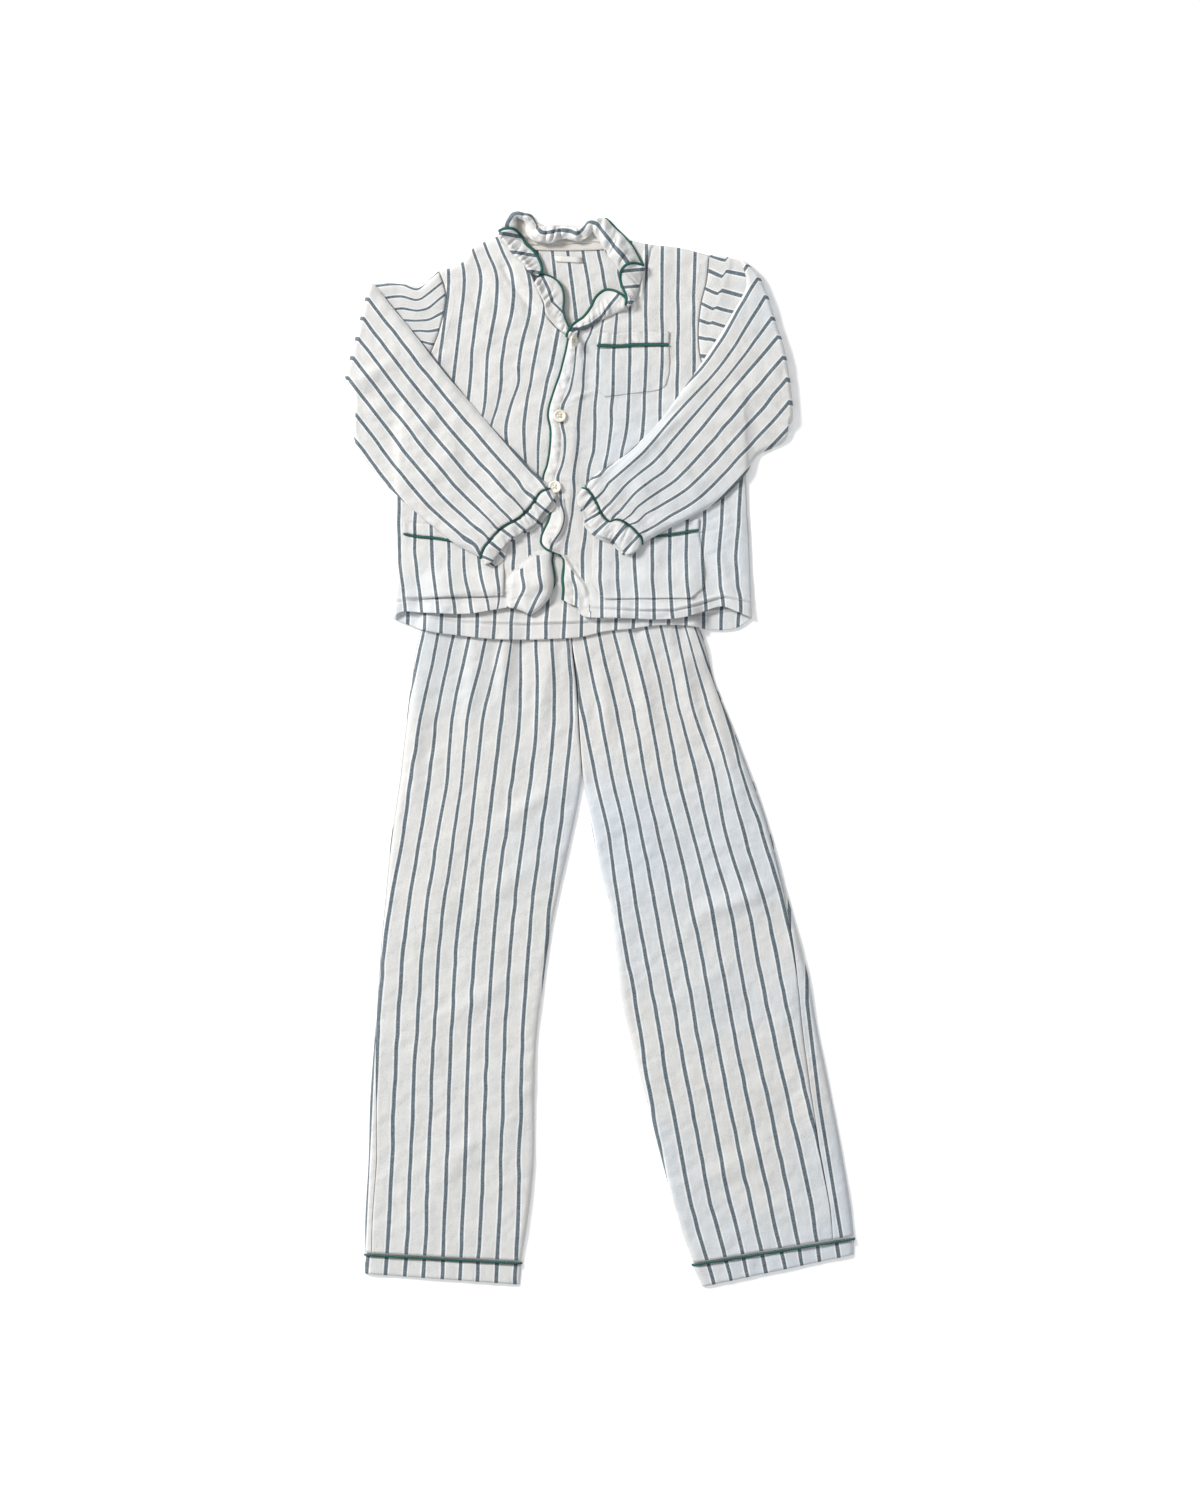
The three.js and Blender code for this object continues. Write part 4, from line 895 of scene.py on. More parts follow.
# Seams that lie a little lower, with the cloth above them standing over the turned hem
HEM_SEAM_BACK = [[-235, 163], [-168, 154], [-92, 151], [-24, 153], [37, 160], [103, 163], [175, 168]]
HEM_SEAM_RIGHT = [[-246, 179], [-206, 182], [-170, 186], [-130, 188], [-112, 189]]
HEM_SEAM_LEFT = [
    [-15, 171], [9, 169.6], [47, 167.3], [88, 167.3], [107, 171.6], [137, 181], [149, 183.6], [181, 177]]


def laid(grid, names, form, softness=2.0, lift=0.3 + THICK):
    """Grid on the pieces stamped under those names, with its own form above them."""
    return lifted(grid, below(grid[..., 0], grid[..., 1], names, softness) + lift + form)


back_right = joined(SIDE_RIGHT, ARM_RIGHT, SIDE_ROWS, ARM_ROWS)
back_left = joined(SIDE_LEFT, ARM_LEFT, SIDE_ROWS, ARM_ROWS)
grid = patch(curve(BACK_HEM, 140), curve(BACK_TOP, 140), shifted(back_right, -SEAM), shifted(back_left, SEAM))
x, y = grid[..., 0], grid[..., 1]
form = 0.8 * noise(x, y, 31, 60, 30, 80) * eased(y, 560, 520)
form += 1.4 * noise(x, y, 32, 26, 60) * eased(y, 175, 140)
form += 1.8 * eased(y, 178, 150) + fold(x, y, HEM_SEAM_BACK, 1.9, 2.6)
back = laid(grid, ["trousers"], form)
cloth("jacket_back", back, woven(stripe_at(y, x, STRIPES_BACK, [0, 10]), y),
      ["jacket_back"])
stamp("back", back)

BINDING_LOW = [[-95, 602], [-84, 600], [-36, 599], [0, 600], [8, 601]]
BINDING_HIGH = [[-95, 610], [-84, 609], [-36, 608], [0, 609], [8, 610]]
LABEL_HIGH = [[-55, 593], [-46, 592.4], [-38, 592], [-30, 591.6], [-22, 591]]
LABEL_LOW = [[-54, 586], [-46, 585.4], [-38, 585], [-30, 584.6], [-21, 584]]
grid = laid(between(curve(BINDING_LOW, 40), curve(BINDING_HIGH, 40), 6), ["back"], 0.4)
cloth("neck_binding", grid, grid[..., :2] / PITCH, ["neck_binding"], material=unstriped)
stamp("back", grid)
grid = between(np.array(LABEL_HIGH, float), np.array(LABEL_LOW, float), 5)
grid = laid(grid, ["back"], 0.3 + 0.5 * noise(grid[..., 0], grid[..., 1], 5, 14))
cloth("neck_label", grid, grid[..., :2] / PITCH, ["neck_label"],
      material=label, slot="label")
stamp("back", grid)

FOLDS_FRONT_RIGHT = [
    [-119, 585, -102, 554, 4, -3.2], [-104, 558, -76, 520, 4, -3.6], [-79, 524, -50, 502, 4, -3.0],
    [-110, 585, -80, 535, 7, 2.6], [-82, 540, -62, 512, 6, 2.2], [-180, 560, -120, 470, 8, 1.6],
    [-140, 580, -90, 500, 7, 1.8], [-110, 560, -75, 480, 6, 1.4], [-220, 230, -150, 175, 10, 2.0],
    [-150, 230, -110, 170, 8, 2.4], [-235, 215, -225, 160, 8, 1.6], [-185, 220, -178, 165, 7, 1.8],
    [-92, 214, -88, 178, 6, 2.4], [-66, 226, -62, 190, 5, 2.0], [-100, 196, -68, 186, 4, -1.6],
    [-84, 176, -64, 196, 3.5, -1.4], [-96, 184, -84, 164, 5, 2.0], [-58, 238, -50, 222, 4, 2.4]]
FOLDS_FRONT_LEFT = [
    [20, 560, 70, 500, 8, 1.4], [60, 590, 110, 540, 8, 1.4], [-20, 480, 30, 440, 8, 1.2],
    [100, 240, 125, 165, 8, 2.2], [140, 240, 160, 170, 8, 2.2], [0, 230, 10, 165, 7, 1.4],
    [60, 230, 55, 160, 9, 1.4], [165, 330, 170, 200, 7, 1.8], [-30, 350, -20, 200, 7, 1.0],
    [-36, 420, -8, 430, 3, 2.4], [-50, 452, -44, 425, 3, -1.4], [-40, 392, -18, 384, 3, 1.4],
    [-60, 330, -28, 322, 3, 1.4], [-50, 312, -24, 302, 3, -1.2], [-30, 190, -24, 172, 4, 2.2],
    [-20, 176, -14, 188, 3, -1.8], [-60, 262, -40, 250, 4, 1.6]]
PLACKET_FOLD = [[-56, 247], [-51, 252], [-45, 262], [-41.5, 274], [-41.5, 284], [-43, 296]]
PLACKET_CREASE = [[-13, 176], [-15, 189], [-19, 199], [-28, 211], [-36, 223], [-42, 233]]
SHOULDER_FOLD = [[52, 545], [53, 562], [54, 578], [57, 590], [61, 602]]
PLACKET_WIDE = 12.0
CREASE_SHIFT = 0.4
FLAP_TOP = 245
FLAP_SEAM = [[-108, 178], [-90, 184], [-70, 178]]
# Distance given to points that are out of a crease's reach
FAR = 99


def front_form(x, y, folds, seed, edge):
    """Height of a front's own lumps, hem and wrinkles."""
    shape = (1.5 * noise(x, y, seed, 70, 26, 75) + 0.8 * noise(x, y, seed + 1, 30, 16, 60)
             + 0.4 * noise(x, y, seed + 2, 14, 9, 30))
    hem = 2.2 * noise(x, y, seed + 3, 70, 15, 88) * eased(y, 215, 165)
    wrinkle = 0.8 * creased(x, y, seed + 4, 26, 13, 20)
    return (shape + hem + wrinkle + ridges(x, y, folds)) * edge + 1.2 * eased(y, 215, 195)


def front_sheet(side, grid, names, form, number):
    front = laid(grid, names, np.maximum(form, 0))
    cloth("jacket_front_" + side, front, woven(number, front[..., 1]), ["jacket_front_" + side])
    stamp("front", front)


# Right front; below the flap's line it bags out from under the left front
grid = patch(curve(FRONT_HEM_RIGHT, 90), curve(FRONT_TOP_RIGHT, 90), shifted(back_right, -SEAM),
             joined(EDGE_RIGHT, ROLL_RIGHT, SIDE_ROWS, ARM_ROWS))
x, y = grid[..., 0], grid[..., 1]
left, right, low, high = edge_distance(grid)
edge = rounded(left, 8 - 5.5 * eased(y, 415, 440)) * rounded(high, 8) * (0.4 + 0.6 * rounded(right, 10))
form = front_form(x, y, FOLDS_FRONT_RIGHT, 41, edge)
form += 6 * np.clip(1 - right / 36, 0, 1) ** 2 * eased(y, 480, 540)
away, place, side = nearest(x, y, FLAP_LINE)[:3]
into = np.where(y < FLAP_TOP, -away * side, -FAR)
begun = eased(x, -113, -104)
flap = eased(into, -0.6, 2.4) * begun
bag = np.exp(-((x + 76) / 17) ** 2 - ((y - 202) / 27) ** 2)
form += flap * (3.2 + 7.5 * bag) * rounded(right, 6) * (0.3 + 0.7 * rounded(low, 7))
form += (0.6 + fold(x, y, HEM_SEAM_RIGHT, 1.9, 3.2)) * eased(y, 210, 190) * (1 - flap)
form += pulled(x, y, FLAP_SEAM, 9, 5, 1.0, 47) * flap
number = parted(stripe_at(y, x, STRIPES_FRONT_RIGHT, MARKS_FRONT_RIGHT), into, FLAP_SHIFT * begun)
front_sheet("right", grid, ["trousers", "back"], form, number)
line = curve(EDGE_RIGHT, 130)
tucked = 3.6 * (1 - eased(line[:, 1], 184, 200))
wide = 0.75 + (PIPE_WIDE - 0.75) * eased(line[:, 1], 225, 250)
path = resting(shifted(line, tucked - PIPE_WIDE), ["trousers", "back"], PIPE_HIGH, 0.6)
cord("cord_front_right", path, "front_piping_right", "front", wide=wide)

# Left front, with its gathered placket
rows = crowded(236, 0.07, 18)
columns = crowded(116, 0.11, 22)
edge_line = curve(EDGE_LEFT, rows)
grid = patch(curve(FRONT_HEM_LEFT, columns), curve(FRONT_TOP_LEFT, columns),
             np.vstack([edge_line, curve(NECK_LEFT, 56)[1:]]),
             shifted(joined(SIDE_LEFT, ARM_LEFT, rows, 56), SEAM))
x, y = grid[..., 0], grid[..., 1]
left, right, low, high = edge_distance(grid)
edge = rounded(right, 8 - 5.5 * eased(y, 420, 445)) * rounded(high, 8) * (0.4 + 0.6 * rounded(left, 10))
form = front_form(x, y, FOLDS_FRONT_LEFT, 51, edge)
gathers = noise(y + 0.35 * left, 0 * y, 57, 3.6) * eased(y, 512, 500)
swell = np.where(left < PLACKET_WIDE, np.sin(np.pi * np.clip(left / PLACKET_WIDE, 0, 1)), 0)
form += swell * (3.4 * gathers - 0.9)
form += 1.0 - 0.8 * np.exp(-((left - PLACKET_WIDE) / 1.1) ** 2)
form += fold(x, y, PLACKET_FOLD, 3.6, 3.6) + fold(x, y, PLACKET_CREASE, 2.2, 2.6)
form += fold(x, y, SHOULDER_FOLD, 2.6, 4.0)
form += fold(x, y, HEM_SEAM_LEFT, 1.9, 3.4) + pulled(x, y, HEM_SEAM_LEFT, 7, 9, 0.8, 58)
away, place, side = nearest(x, y, PLACKET_CREASE)[:3]
into = np.where((y < 233) & (x < -8), away * side, -FAR)
number = np.maximum(stripe_at(y, x, STRIPES_FRONT_LEFT, MARKS_FRONT_LEFT), -1.5)
number = parted(number, into, CREASE_SHIFT + 0 * x)
path = resting(shifted(edge_line, PIPE_WIDE + 0.2), ["trousers", "back", "front"], PIPE_HIGH, 0.9)
front_sheet("left", grid, ["trousers", "back", "front"], form, number)
wide = PIPE_WIDE + 0.8 * eased(path[:, 1], 224, 214) + 0.5 * np.exp(-((path[:, 1] - 276) / 10) ** 2)
cord("cord_front_left", path, "front_piping_left", "front", wide=wide)

# Pockets, columns: left x, left y, right x, right y, from the top down
POCKET_RIGHT = [
    [-236, 257, -115, 241], [-239, 236, -115, 224], [-241, 208, -115, 206], [-240, 193, -115, 192],
    [-233, 182, -115, 184]]
POCKET_LEFT = [
    [-8, 259, 119, 261], [-9, 232, 123, 237], [-10, 210, 126, 214], [-9, 196, 124, 194], [5, 181, 109, 182]]
CHEST_POCKET = [
    [-4, 480, 83, 484], [-6, 462, 84, 466], [-7, 444, 83, 450], [-3, 432, 79, 437], [6, 423, 70, 431]]
FRONTS = ["trousers", "back", "front"]


def pocket(name, table, band_height, number, sag=0.0, wide=1.4, arch=0.0):
    """Patch pocket with a band above its cord; the cord sags or arches from its straight line."""
    rows, columns = 27, 44

    def down(line):
        places = np.linspace(0, 1, rows) * lengths(line)[-1]
        return np.stack([np.interp(places, lengths(line), v) for v in line.T], 1)

    table = np.array(table, float)
    left, right = table[:, :2], table[:, 2:]
    grid = between(down(left), down(right), columns)
    dip = sag * np.sin(np.pi * np.linspace(0, 1, columns))
    grid[..., 1] -= dip * np.linspace(1, 0, rows)[:, None]
    sides = edge_distance(grid)
    puff = rounded(sides[0], 5) * rounded(sides[1], 5) * rounded(sides[3], 5)
    grid = laid(grid, FRONTS, 0.45 * puff * (0.5 + noise(grid[..., 0], grid[..., 1], 37, 30, 14)), lift=0.05)
    cloth(name, grid, woven(number(grid), grid[..., 1]), [name])
    line = between(left[:1], right[:1], columns)[0]
    line[:, 1] += 1.8 * noise(line[:, 0], 0 * line[:, 0], len(name), 22) - 0.9 - dip
    line[:, 1] += wide + 0.4 + arch * np.cos(np.linspace(0, 2.2, columns)) * np.linspace(1, 0.4, columns)
    path = resting(line, FRONTS, PIPE_HIGH, 0.7)
    top = line + [0, wide + 0.2]
    strip = between(top, top + [0, band_height], 8)
    strip[:, -1, 1] += 3.2 * (noise(strip[:, -1, 0], 0 * strip[:, -1, 0], 39, 9) - 0.5)
    strip = laid(strip, FRONTS, 2.6 * creased(strip[..., 0], strip[..., 1], 38, 9, 30), lift=0.3)
    cloth(name + "_band", strip, woven(number(strip), strip[..., 1]), [name + "_band"])
    stamp("front", grid)
    stamp("front", strip)
    cord("cord_" + name, path, name + "_piping", "front", wide=wide)


pocket("pocket_right", POCKET_RIGHT, 14, crossing(STRIPES_FRONT_RIGHT, MARKS_FRONT_RIGHT))
pocket("pocket_left", POCKET_LEFT, 12, crossing(STRIPES_FRONT_LEFT, MARKS_FRONT_LEFT),
       6.0)
pocket("chest_pocket", CHEST_POCKET, 13, crossing(STRIPES_FRONT_LEFT, MARKS_FRONT_LEFT),
       0.0, 1.9, 1.6)

# Sleeves: the part beside the body, then the part folded across the front
FOLD_RIGHT = [[-301, 444], [-295, 468], [-288, 494], [-281, 522], [-276, 542], [-272, 559]]
FOLD_LEFT = [[226, 392], [226, 414], [222, 450], [215, 486], [206, 514], [196, 546], [185, 570], [169, 587]]
CAP_TOP_RIGHT = [[-272, 559], [-250, 559], [-228, 557], [-215, 555], [-202, 566], [-193, 574]]
CAP_LOW_RIGHT = [[-301, 444], [-264, 426], [-235, 425]]
CAP_TOP_LEFT = [[169, 587], [157, 590], [144, 592], [131, 593]]
CAP_LOW_LEFT = [[226, 392], [198, 420], [170, 430]]
ARM_TOP_RIGHT = [[-272, 559], [-206, 478], [-139, 396], [-94, 349], [-71, 325], [-62, 314]]
ARM_LOW_RIGHT = [
    [-301, 444], [-293, 418], [-294, 372], [-277, 342], [-241, 304], [-199, 268], [-172, 247], [-144, 232]]
WRIST_RIGHT = [
    [-144, 232], [-141, 241], [-134.5, 250], [-127.5, 258], [-118, 267.5], [-107.5, 273.5], [-97, 279.5],
    [-86.5, 290], [-79.5, 299.5], [-71.5, 310], [-62, 314]]
ARM_TOP_LEFT = [
    [169, 587], [176, 558], [160, 524], [137, 486], [113, 450], [88, 415], [67, 388], [24, 348], [-6, 329],
    [-19, 315]]
ARM_LOW_LEFT = [
    [226, 392], [222, 372], [188, 353], [175, 332], [146, 302], [116, 283], [88, 269], [52, 249]]
WRIST_LEFT = [
    [52, 249], [51, 255], [46.5, 260], [41, 266], [35, 270.5], [27, 275.5], [19.5, 277], [12.5, 274.5],
    [7, 279], [2, 286], [-1, 293], [-5, 301], [-9.5, 308], [-14, 313], [-19, 315]]
# Where marked stripes run: for the caps across x, for the arms across the arm's own length
STRIPES_CAP_RIGHT = [
    [-270, 556, 524, 485], [-238, 558, 529, 487], [-216, 553, 527, 490], [-205, 564, 530, 487],
    [-193, 574, 540, 485]]
STRIPES_CAP_LEFT = [
    [120, 602, 587, 563, 541, 472], [131, 598, 582, 557, 535, 470.5], [146, 594, 575, 551, 528.5, 467],
    [168, 590, 571, 545, 523, 463]]
# A pleat in the left cap, columns: y, x, how far the stripes jump there
CAP_PLEAT = [
    [480, 128, 0], [510, 132, 0.12], [529, 137.3, 0.18], [549, 143.4, 0.24], [570, 149, 0.36],
    [592, 153, 0.36]]
STRIPES_ARM_RIGHT = [
    [-602, 151.2, 93.6, 36.0], [-470, 147.6, 89.5, 31.2], [-362, 148.8, 88.0, 28.4],
    [-280, 150.4, 94.4, 40.2]]
STRIPES_ARM_LEFT = [
    [-542, -211, -192, -150, -108, -66], [-440, -197, -181, -152, -110, -72],
    [-374, -200, -185, -151, -112, -76], [-308, -199.5, -187, -153, -118, -82],
    [-260, -209.5, -193, -163, -134, -98], [-233, -213, -196, -162, -142, -109]]
FOLDS_ARM_RIGHT = [
    [-290, 440, -240, 470, 8, 2.4], [-285, 400, -230, 430, 9, 2.0], [-240, 380, -190, 400, 9, 1.6],
    [-200, 330, -170, 370, 9, 1.4], [-130, 330, -105, 290, 8, 1.6], [-150, 290, -120, 260, 7, 1.6]]
FOLDS_ARM_LEFT = [
    [215, 400, 150, 440, 9, 2.4], [215, 380, 140, 400, 8, 2.2], [175, 345, 120, 370, 9, 2.0],
    [120, 300, 90, 345, 8, 1.8], [60, 300, 40, 330, 7, 1.8], [40, 280, 10, 310, 7, 1.6],
    [96, 414, 4, 326, 3.5, -2.6], [108, 410, 16, 322, 5, 1.8]]


SLEEVE_COLUMNS = 80
PLEAT_HALF = 1.8


def turned_over(ring):
    """Ring of a flattened tube that faces the other way: its lower layer first, from the far end."""
    half = SLEEVE_COLUMNS + 1
    return np.concatenate([ring[:, half:half + SLEEVE_COLUMNS][:, ::-1], ring[:, half - 1:half],
                           ring[:, :SLEEVE_COLUMNS][:, ::-1], ring[:, -1:]], 1)


def sleeve(side, lines, shift, cap_stripes, arm_stripes, way, folds, seed):
    """Tube that runs out from the armhole, turns at its fold and comes back across the front."""
    armhole, fold_line, cap_top, cap_low, arm_top, arm_low, wrist = lines
    seam = shifted(curve(armhole, SLEEVE_COLUMNS), shift)
    fold_line = curve(fold_line, SLEEVE_COLUMNS)
    cap_rows, arm_rows = 36, 100
    cap = patch(seam, fold_line, tied(curve(cap_low, cap_rows)[::-1], seam[0], fold_line[0]),
                tied(curve(cap_top, cap_rows)[::-1], seam[-1], fold_line[-1]))
    arm = patch(fold_line, curve(wrist, SLEEVE_COLUMNS), curve(arm_low, arm_rows), curve(arm_top, arm_rows))
    low, high, start, end = edge_distance(cap)
    cap = lifted(cap, 0.6)
    x, y = cap[..., 0], cap[..., 1]
    cap_rise = 1.3 + rounded(low, 7) * rounded(high, 7) * (
        2.4 + 2.2 * noise(x, y, seed, 40, 12, 175) * rounded(start, 12) + 0.6 * noise(x, y, seed + 1, 16, 10))
    upper = raised(cap, cap_rise)
    cap_number = stripe_at(x, y, *cap_stripes)
    if side == "left":
        pleat, jump = [np.interp(y, *np.array(CAP_PLEAT)[:, [0, k]].T) for k in (1, 2)]
        cap_number = cap_number - jump * eased(x, pleat + PLEAT_HALF, pleat - PLEAT_HALF)
        upper[..., 2] += rounded(high, 7) * 4 * jump * np.exp(-((x - pleat - 3) / 3.5) ** 2)
    cap_ring = tube_ring(upper, cap)
    stamp("cap_" + side, upper)
    arm = lifted(arm, below(arm[..., 0], arm[..., 1], FRONTS + ["cap_" + side], 3.0) + 0.8)
    low, high, start, end = edge_distance(arm)
    x, y = arm[..., 0], arm[..., 1]
    along = x * way[0] + y * way[1]
    across = x * -way[1] + y * way[0]
    place = along, across
    lumps = (1.8 * noise(*place, seed + 2, 45, 26, 60) + 1.2 * noise(*place, seed + 3, 24, 15, 120)
             + 0.5 * noise(*place, seed + 4, 12, 9) + 0.8 * creased(*place, seed + 6, 24, 12, 70))
    gather = 1.6 * noise(*place, seed + 5, 26, 8) + 1.6 * creased(*place, seed + 8, 30, 7)
    gather *= eased(end, 40, 2)
    arm_rise = 1.3 + rounded(low, 8) * rounded(high, 8) * (2.6 + lumps + gather + 1.4 * ridges(x, y, folds))
    upper = raised(arm, arm_rise)
    arm_number = stripe_at(*place, *arm_stripes)
    arm_number += 0.4 * (noise(*place, seed + 7, 15, 11) - 0.5) * eased(end, 42, 8)
    # The turn at the fold: rings swing from the cap's stack to the arm's, which faces the other way
    arm_ring = turned_over(tube_ring(upper, arm))
    last, first = cap_ring[-1], arm_ring[0]
    out = (cap[-1] - cap[-2]).mean(0)[:2]
    out /= np.linalg.norm(out)
    reach = np.minimum(np.abs(first[:, 2] - last[:, 2]) / 2, 5)
    turn = []
    for angle in np.linspace(-1, 1, 9)[1:-1] * math.pi / 2:
        point = (last + first) / 2
        point[:, 2] += (first[:, 2] - last[:, 2]) / 2 * math.sin(angle)
        point[:, :2] += out * (reach * math.cos(angle))[:, None]
        turn.append(point)
    arm_uv = turned_over(ring_uv(arm_number, along))
    uv = np.concatenate([ring_uv(cap_number, cap[..., 0]), np.repeat(arm_uv[:1], len(turn), 0), arm_uv])
    cloth("sleeve_" + side, np.concatenate([cap_ring, np.array(turn), arm_ring]), uv,
          ["sleeve_" + side], ring=True)
    stamp("sleeves", upper)


sleeve("right",
       [ARM_RIGHT, FOLD_RIGHT, CAP_TOP_RIGHT, CAP_LOW_RIGHT, ARM_TOP_RIGHT, ARM_LOW_RIGHT, WRIST_RIGHT],
       0.6, (STRIPES_CAP_RIGHT, [0, 2, 5]), (STRIPES_ARM_RIGHT, [0, 3, 6]), (0.64, -0.77), FOLDS_ARM_RIGHT,
       61)
sleeve("left",
       [ARM_LEFT, FOLD_LEFT, CAP_TOP_LEFT, CAP_LOW_LEFT, ARM_TOP_LEFT, ARM_LOW_LEFT, WRIST_LEFT],
       -0.6, (STRIPES_CAP_LEFT, [0, 1, 2, 3, 6]), (STRIPES_ARM_LEFT, [0, 1, 3, 5, 7]), (-0.635, -0.77),
       FOLDS_ARM_LEFT, 71)

CUFF_PIPE = 0.95
# Stripes across the cuffs, columns: x, y at the cord, x, y at the cuff's end
CUFF_STRIPES_RIGHT = [
    [-143, 232, -130, 227], [-131, 248, -120, 239], [-114.6, 261, -105, 255], [-100.6, 270.6, -91, 264],
    [-84, 281, -74, 274], [-71, 292, -65.5, 287], [-64, 313, -58, 299]]
CUFF_STRIPES_LEFT = [
    [43, 253, 32.5, 240], [30, 267, 20, 253], [5.6, 270, -5, 260], [-1.4, 283, -14, 275.5],
    [-10, 302, -18, 289]]
CUFF_UPPER_RIGHT = [
    [-137, 222], [-130, 225], [-125, 231], [-119, 238], [-112, 247], [-105, 254], [-98.5, 257],
    [-91, 262.5], [-83, 266], [-77, 271], [-72.5, 279], [-66.5, 286], [-61, 292], [-57, 297], [-52, 305]]
CUFF_LOWER_RIGHT = [
    [-137, 222], [-128, 220], [-120, 223.5], [-113.5, 232], [-110, 243], [-103, 251], [-97, 255],
    [-89, 260], [-80.5, 263.5], [-71.5, 270.5], [-64.5, 280], [-55, 288.5], [-52.5, 297], [-52, 305]]
CUFF_UPPER_LEFT = [
    [46, 240], [35, 234.5], [30, 234.5], [25, 240], [20, 246], [15, 252], [4.5, 254], [-5, 259], [-14, 268],
    [-15.5, 277], [-19, 286], [-26, 291], [-28, 301], [-24, 309]]
CUFF_LOWER_LEFT = [
    [46, 240], [36, 232.5], [27, 234], [20, 240.5], [13, 247.5], [2, 251], [-8, 257], [-18, 267],
    [-19, 278], [-23, 286], [-29, 292], [-29, 302], [-24, 309]]


def cuff(side, wrist, upper_edge, lower_edge, way, pinches, stripes):
    """Gathered cuff; its two layers end apart, and its upper one is pinched at those shares of its width."""
    columns, rows = 84, 14
    near = curve(wrist, columns)
    across = lengths(near)[None]
    size = across[0, -1]
    cord_round("cord_cuff_" + side, near + np.array(way) * 1.7, FRONTS, 3.8, "cuff_piping_" + side, CUFF_PIPE)
    start = near + np.array(way) * 3.0
    edge = curve(upper_edge, columns)
    edge += np.array(way) * (1.6 * noise(lengths(edge), 0 * near[:, 0], 77, 8) - 0.8)[:, None]
    layers = [between(start, line, rows).swapaxes(0, 1) for line in (edge, curve(lower_edge, columns))]
    upper, lower = [lifted(grid, below(grid[..., 0], grid[..., 1], FRONTS) + 0.5) for grid in layers]
    out = np.linspace(0, 1, rows)[:, None]
    whole = 1.0
    for share in pinches:
        whole = whole * rounded(np.abs(across - share * size), 8)
    whole = 1 - (1 - whole) * (0.25 + 0.75 * out)
    sides = rounded(across, 5) * rounded(size - across, 5)
    gathers = creased(across + 3 * out, 9 * out + 0 * across, 78, 6, 14)
    belly = 0.7 + 0.3 * rounded(out * 18, 7) * rounded(18.5 - out * 18, 5)
    upper = raised(upper, 1.1 + sides * belly * (0.8 + 4.2 * whole + 3.4 * gathers))
    # Where each stripe leaves the cord and where it ends; beyond the outer ones the cuff stays plain
    crossed = []
    for line, points in ((start, np.array(stripes)[:, :2]), (edge, np.array(stripes)[:, 2:])):
        place, size_of_line = nearest(points[:, 0], points[:, 1], line)[1::2]
        crossed.append(place / size_of_line)
    number = []
    for part in out[:, 0]:
        at = crossed[0] * (1 - part) + crossed[1] * part
        at = np.concatenate([[1.5 * at[0] - 0.5 * at[1]], at, [1.5 * at[-1] - 0.5 * at[-2]]])
        counts = np.clip(np.arange(len(at)), 0.5, len(at) - 1.5)
        number.append(np.interp(across[0] / size, at, counts))
    cloth("cuff_" + side, tube_ring(upper, lower), ring_uv(np.array(number), upper[..., 1]),
          ["cuff_" + side], ring=True)
    stamp("sleeves", upper)


cuff("right", WRIST_RIGHT, CUFF_UPPER_RIGHT, CUFF_LOWER_RIGHT, (0.68, -0.73), (0.08, 0.20, 0.45, 0.66, 0.90),
     CUFF_STRIPES_RIGHT)
cuff("left", WRIST_LEFT, CUFF_UPPER_LEFT, CUFF_LOWER_LEFT, (-0.68, -0.73), (0.14, 0.30, 0.52, 0.66, 0.80),
     CUFF_STRIPES_LEFT)

# Lapels and the collar's falling ends: leaves from a root line up to a free, corded edge
LAPEL_RIGHT_ROOT = [[-38, 497], [-48, 503], [-57, 512], [-65, 522], [-67, 535], [-74, 549], [-79, 559]]
LAPEL_RIGHT_FREE = [
    [-37, 504], [-42, 515], [-45, 527], [-44, 542], [-46, 553], [-52, 562], [-60, 567], [-69, 569],
    [-75, 566]]
LAPEL_LEFT_ROOT = [[-37, 493], [-30, 502], [-17, 504], [-7, 510], [4, 516], [19, 523], [32, 528]]
LAPEL_LEFT_FREE = [
    [-39, 494], [-37, 500], [-30, 510], [-19, 518], [-10, 530], [-4, 542], [6, 550], [14, 550], [23, 546],
    [30, 540], [33, 531]]
FALL_RIGHT_ROOT = [[-74, 568], [-85, 573], [-90, 579], [-102, 591], [-114, 605], [-120, 612], [-121, 617]]
FALL_RIGHT_FREE = [
    [-72, 571], [-71, 577], [-74, 587], [-80, 597], [-90, 606], [-95, 615], [-102, 621], [-112, 622],
    [-121, 620]]
FALL_LEFT_ROOT = [[54, 577], [51, 569], [48, 559], [45, 548], [41, 538], [34, 530]]
FALL_LEFT_FREE = [[52, 579], [41, 581], [31, 578], [26, 571], [26, 561], [30, 550], [33, 542], [32, 532]]
STRIPE_LAPEL_LEFT = [[-26, 503], [-12, 508], [1, 518], [11, 532], [21, 544], [30, 556]]
STAND_LOW = [[-119, 608], [-104, 609], [-84, 606], [-40, 607], [4, 608], [22, 588], [46, 574]]
STAND_HIGH = [[-114, 634], [-103, 640], [-84, 637], [-42, 621], [-8, 630], [14, 614], [46, 588]]
COLLAR_GROUND = FRONTS + ["lapels"]
# The roll's height, and where it stands up in two loops
ROLL_TALL = 7.0
LOOPS = [[-98, 640], [-8, 628]]
LOOP_RISE = 2.2
LOOP_REACH = 12
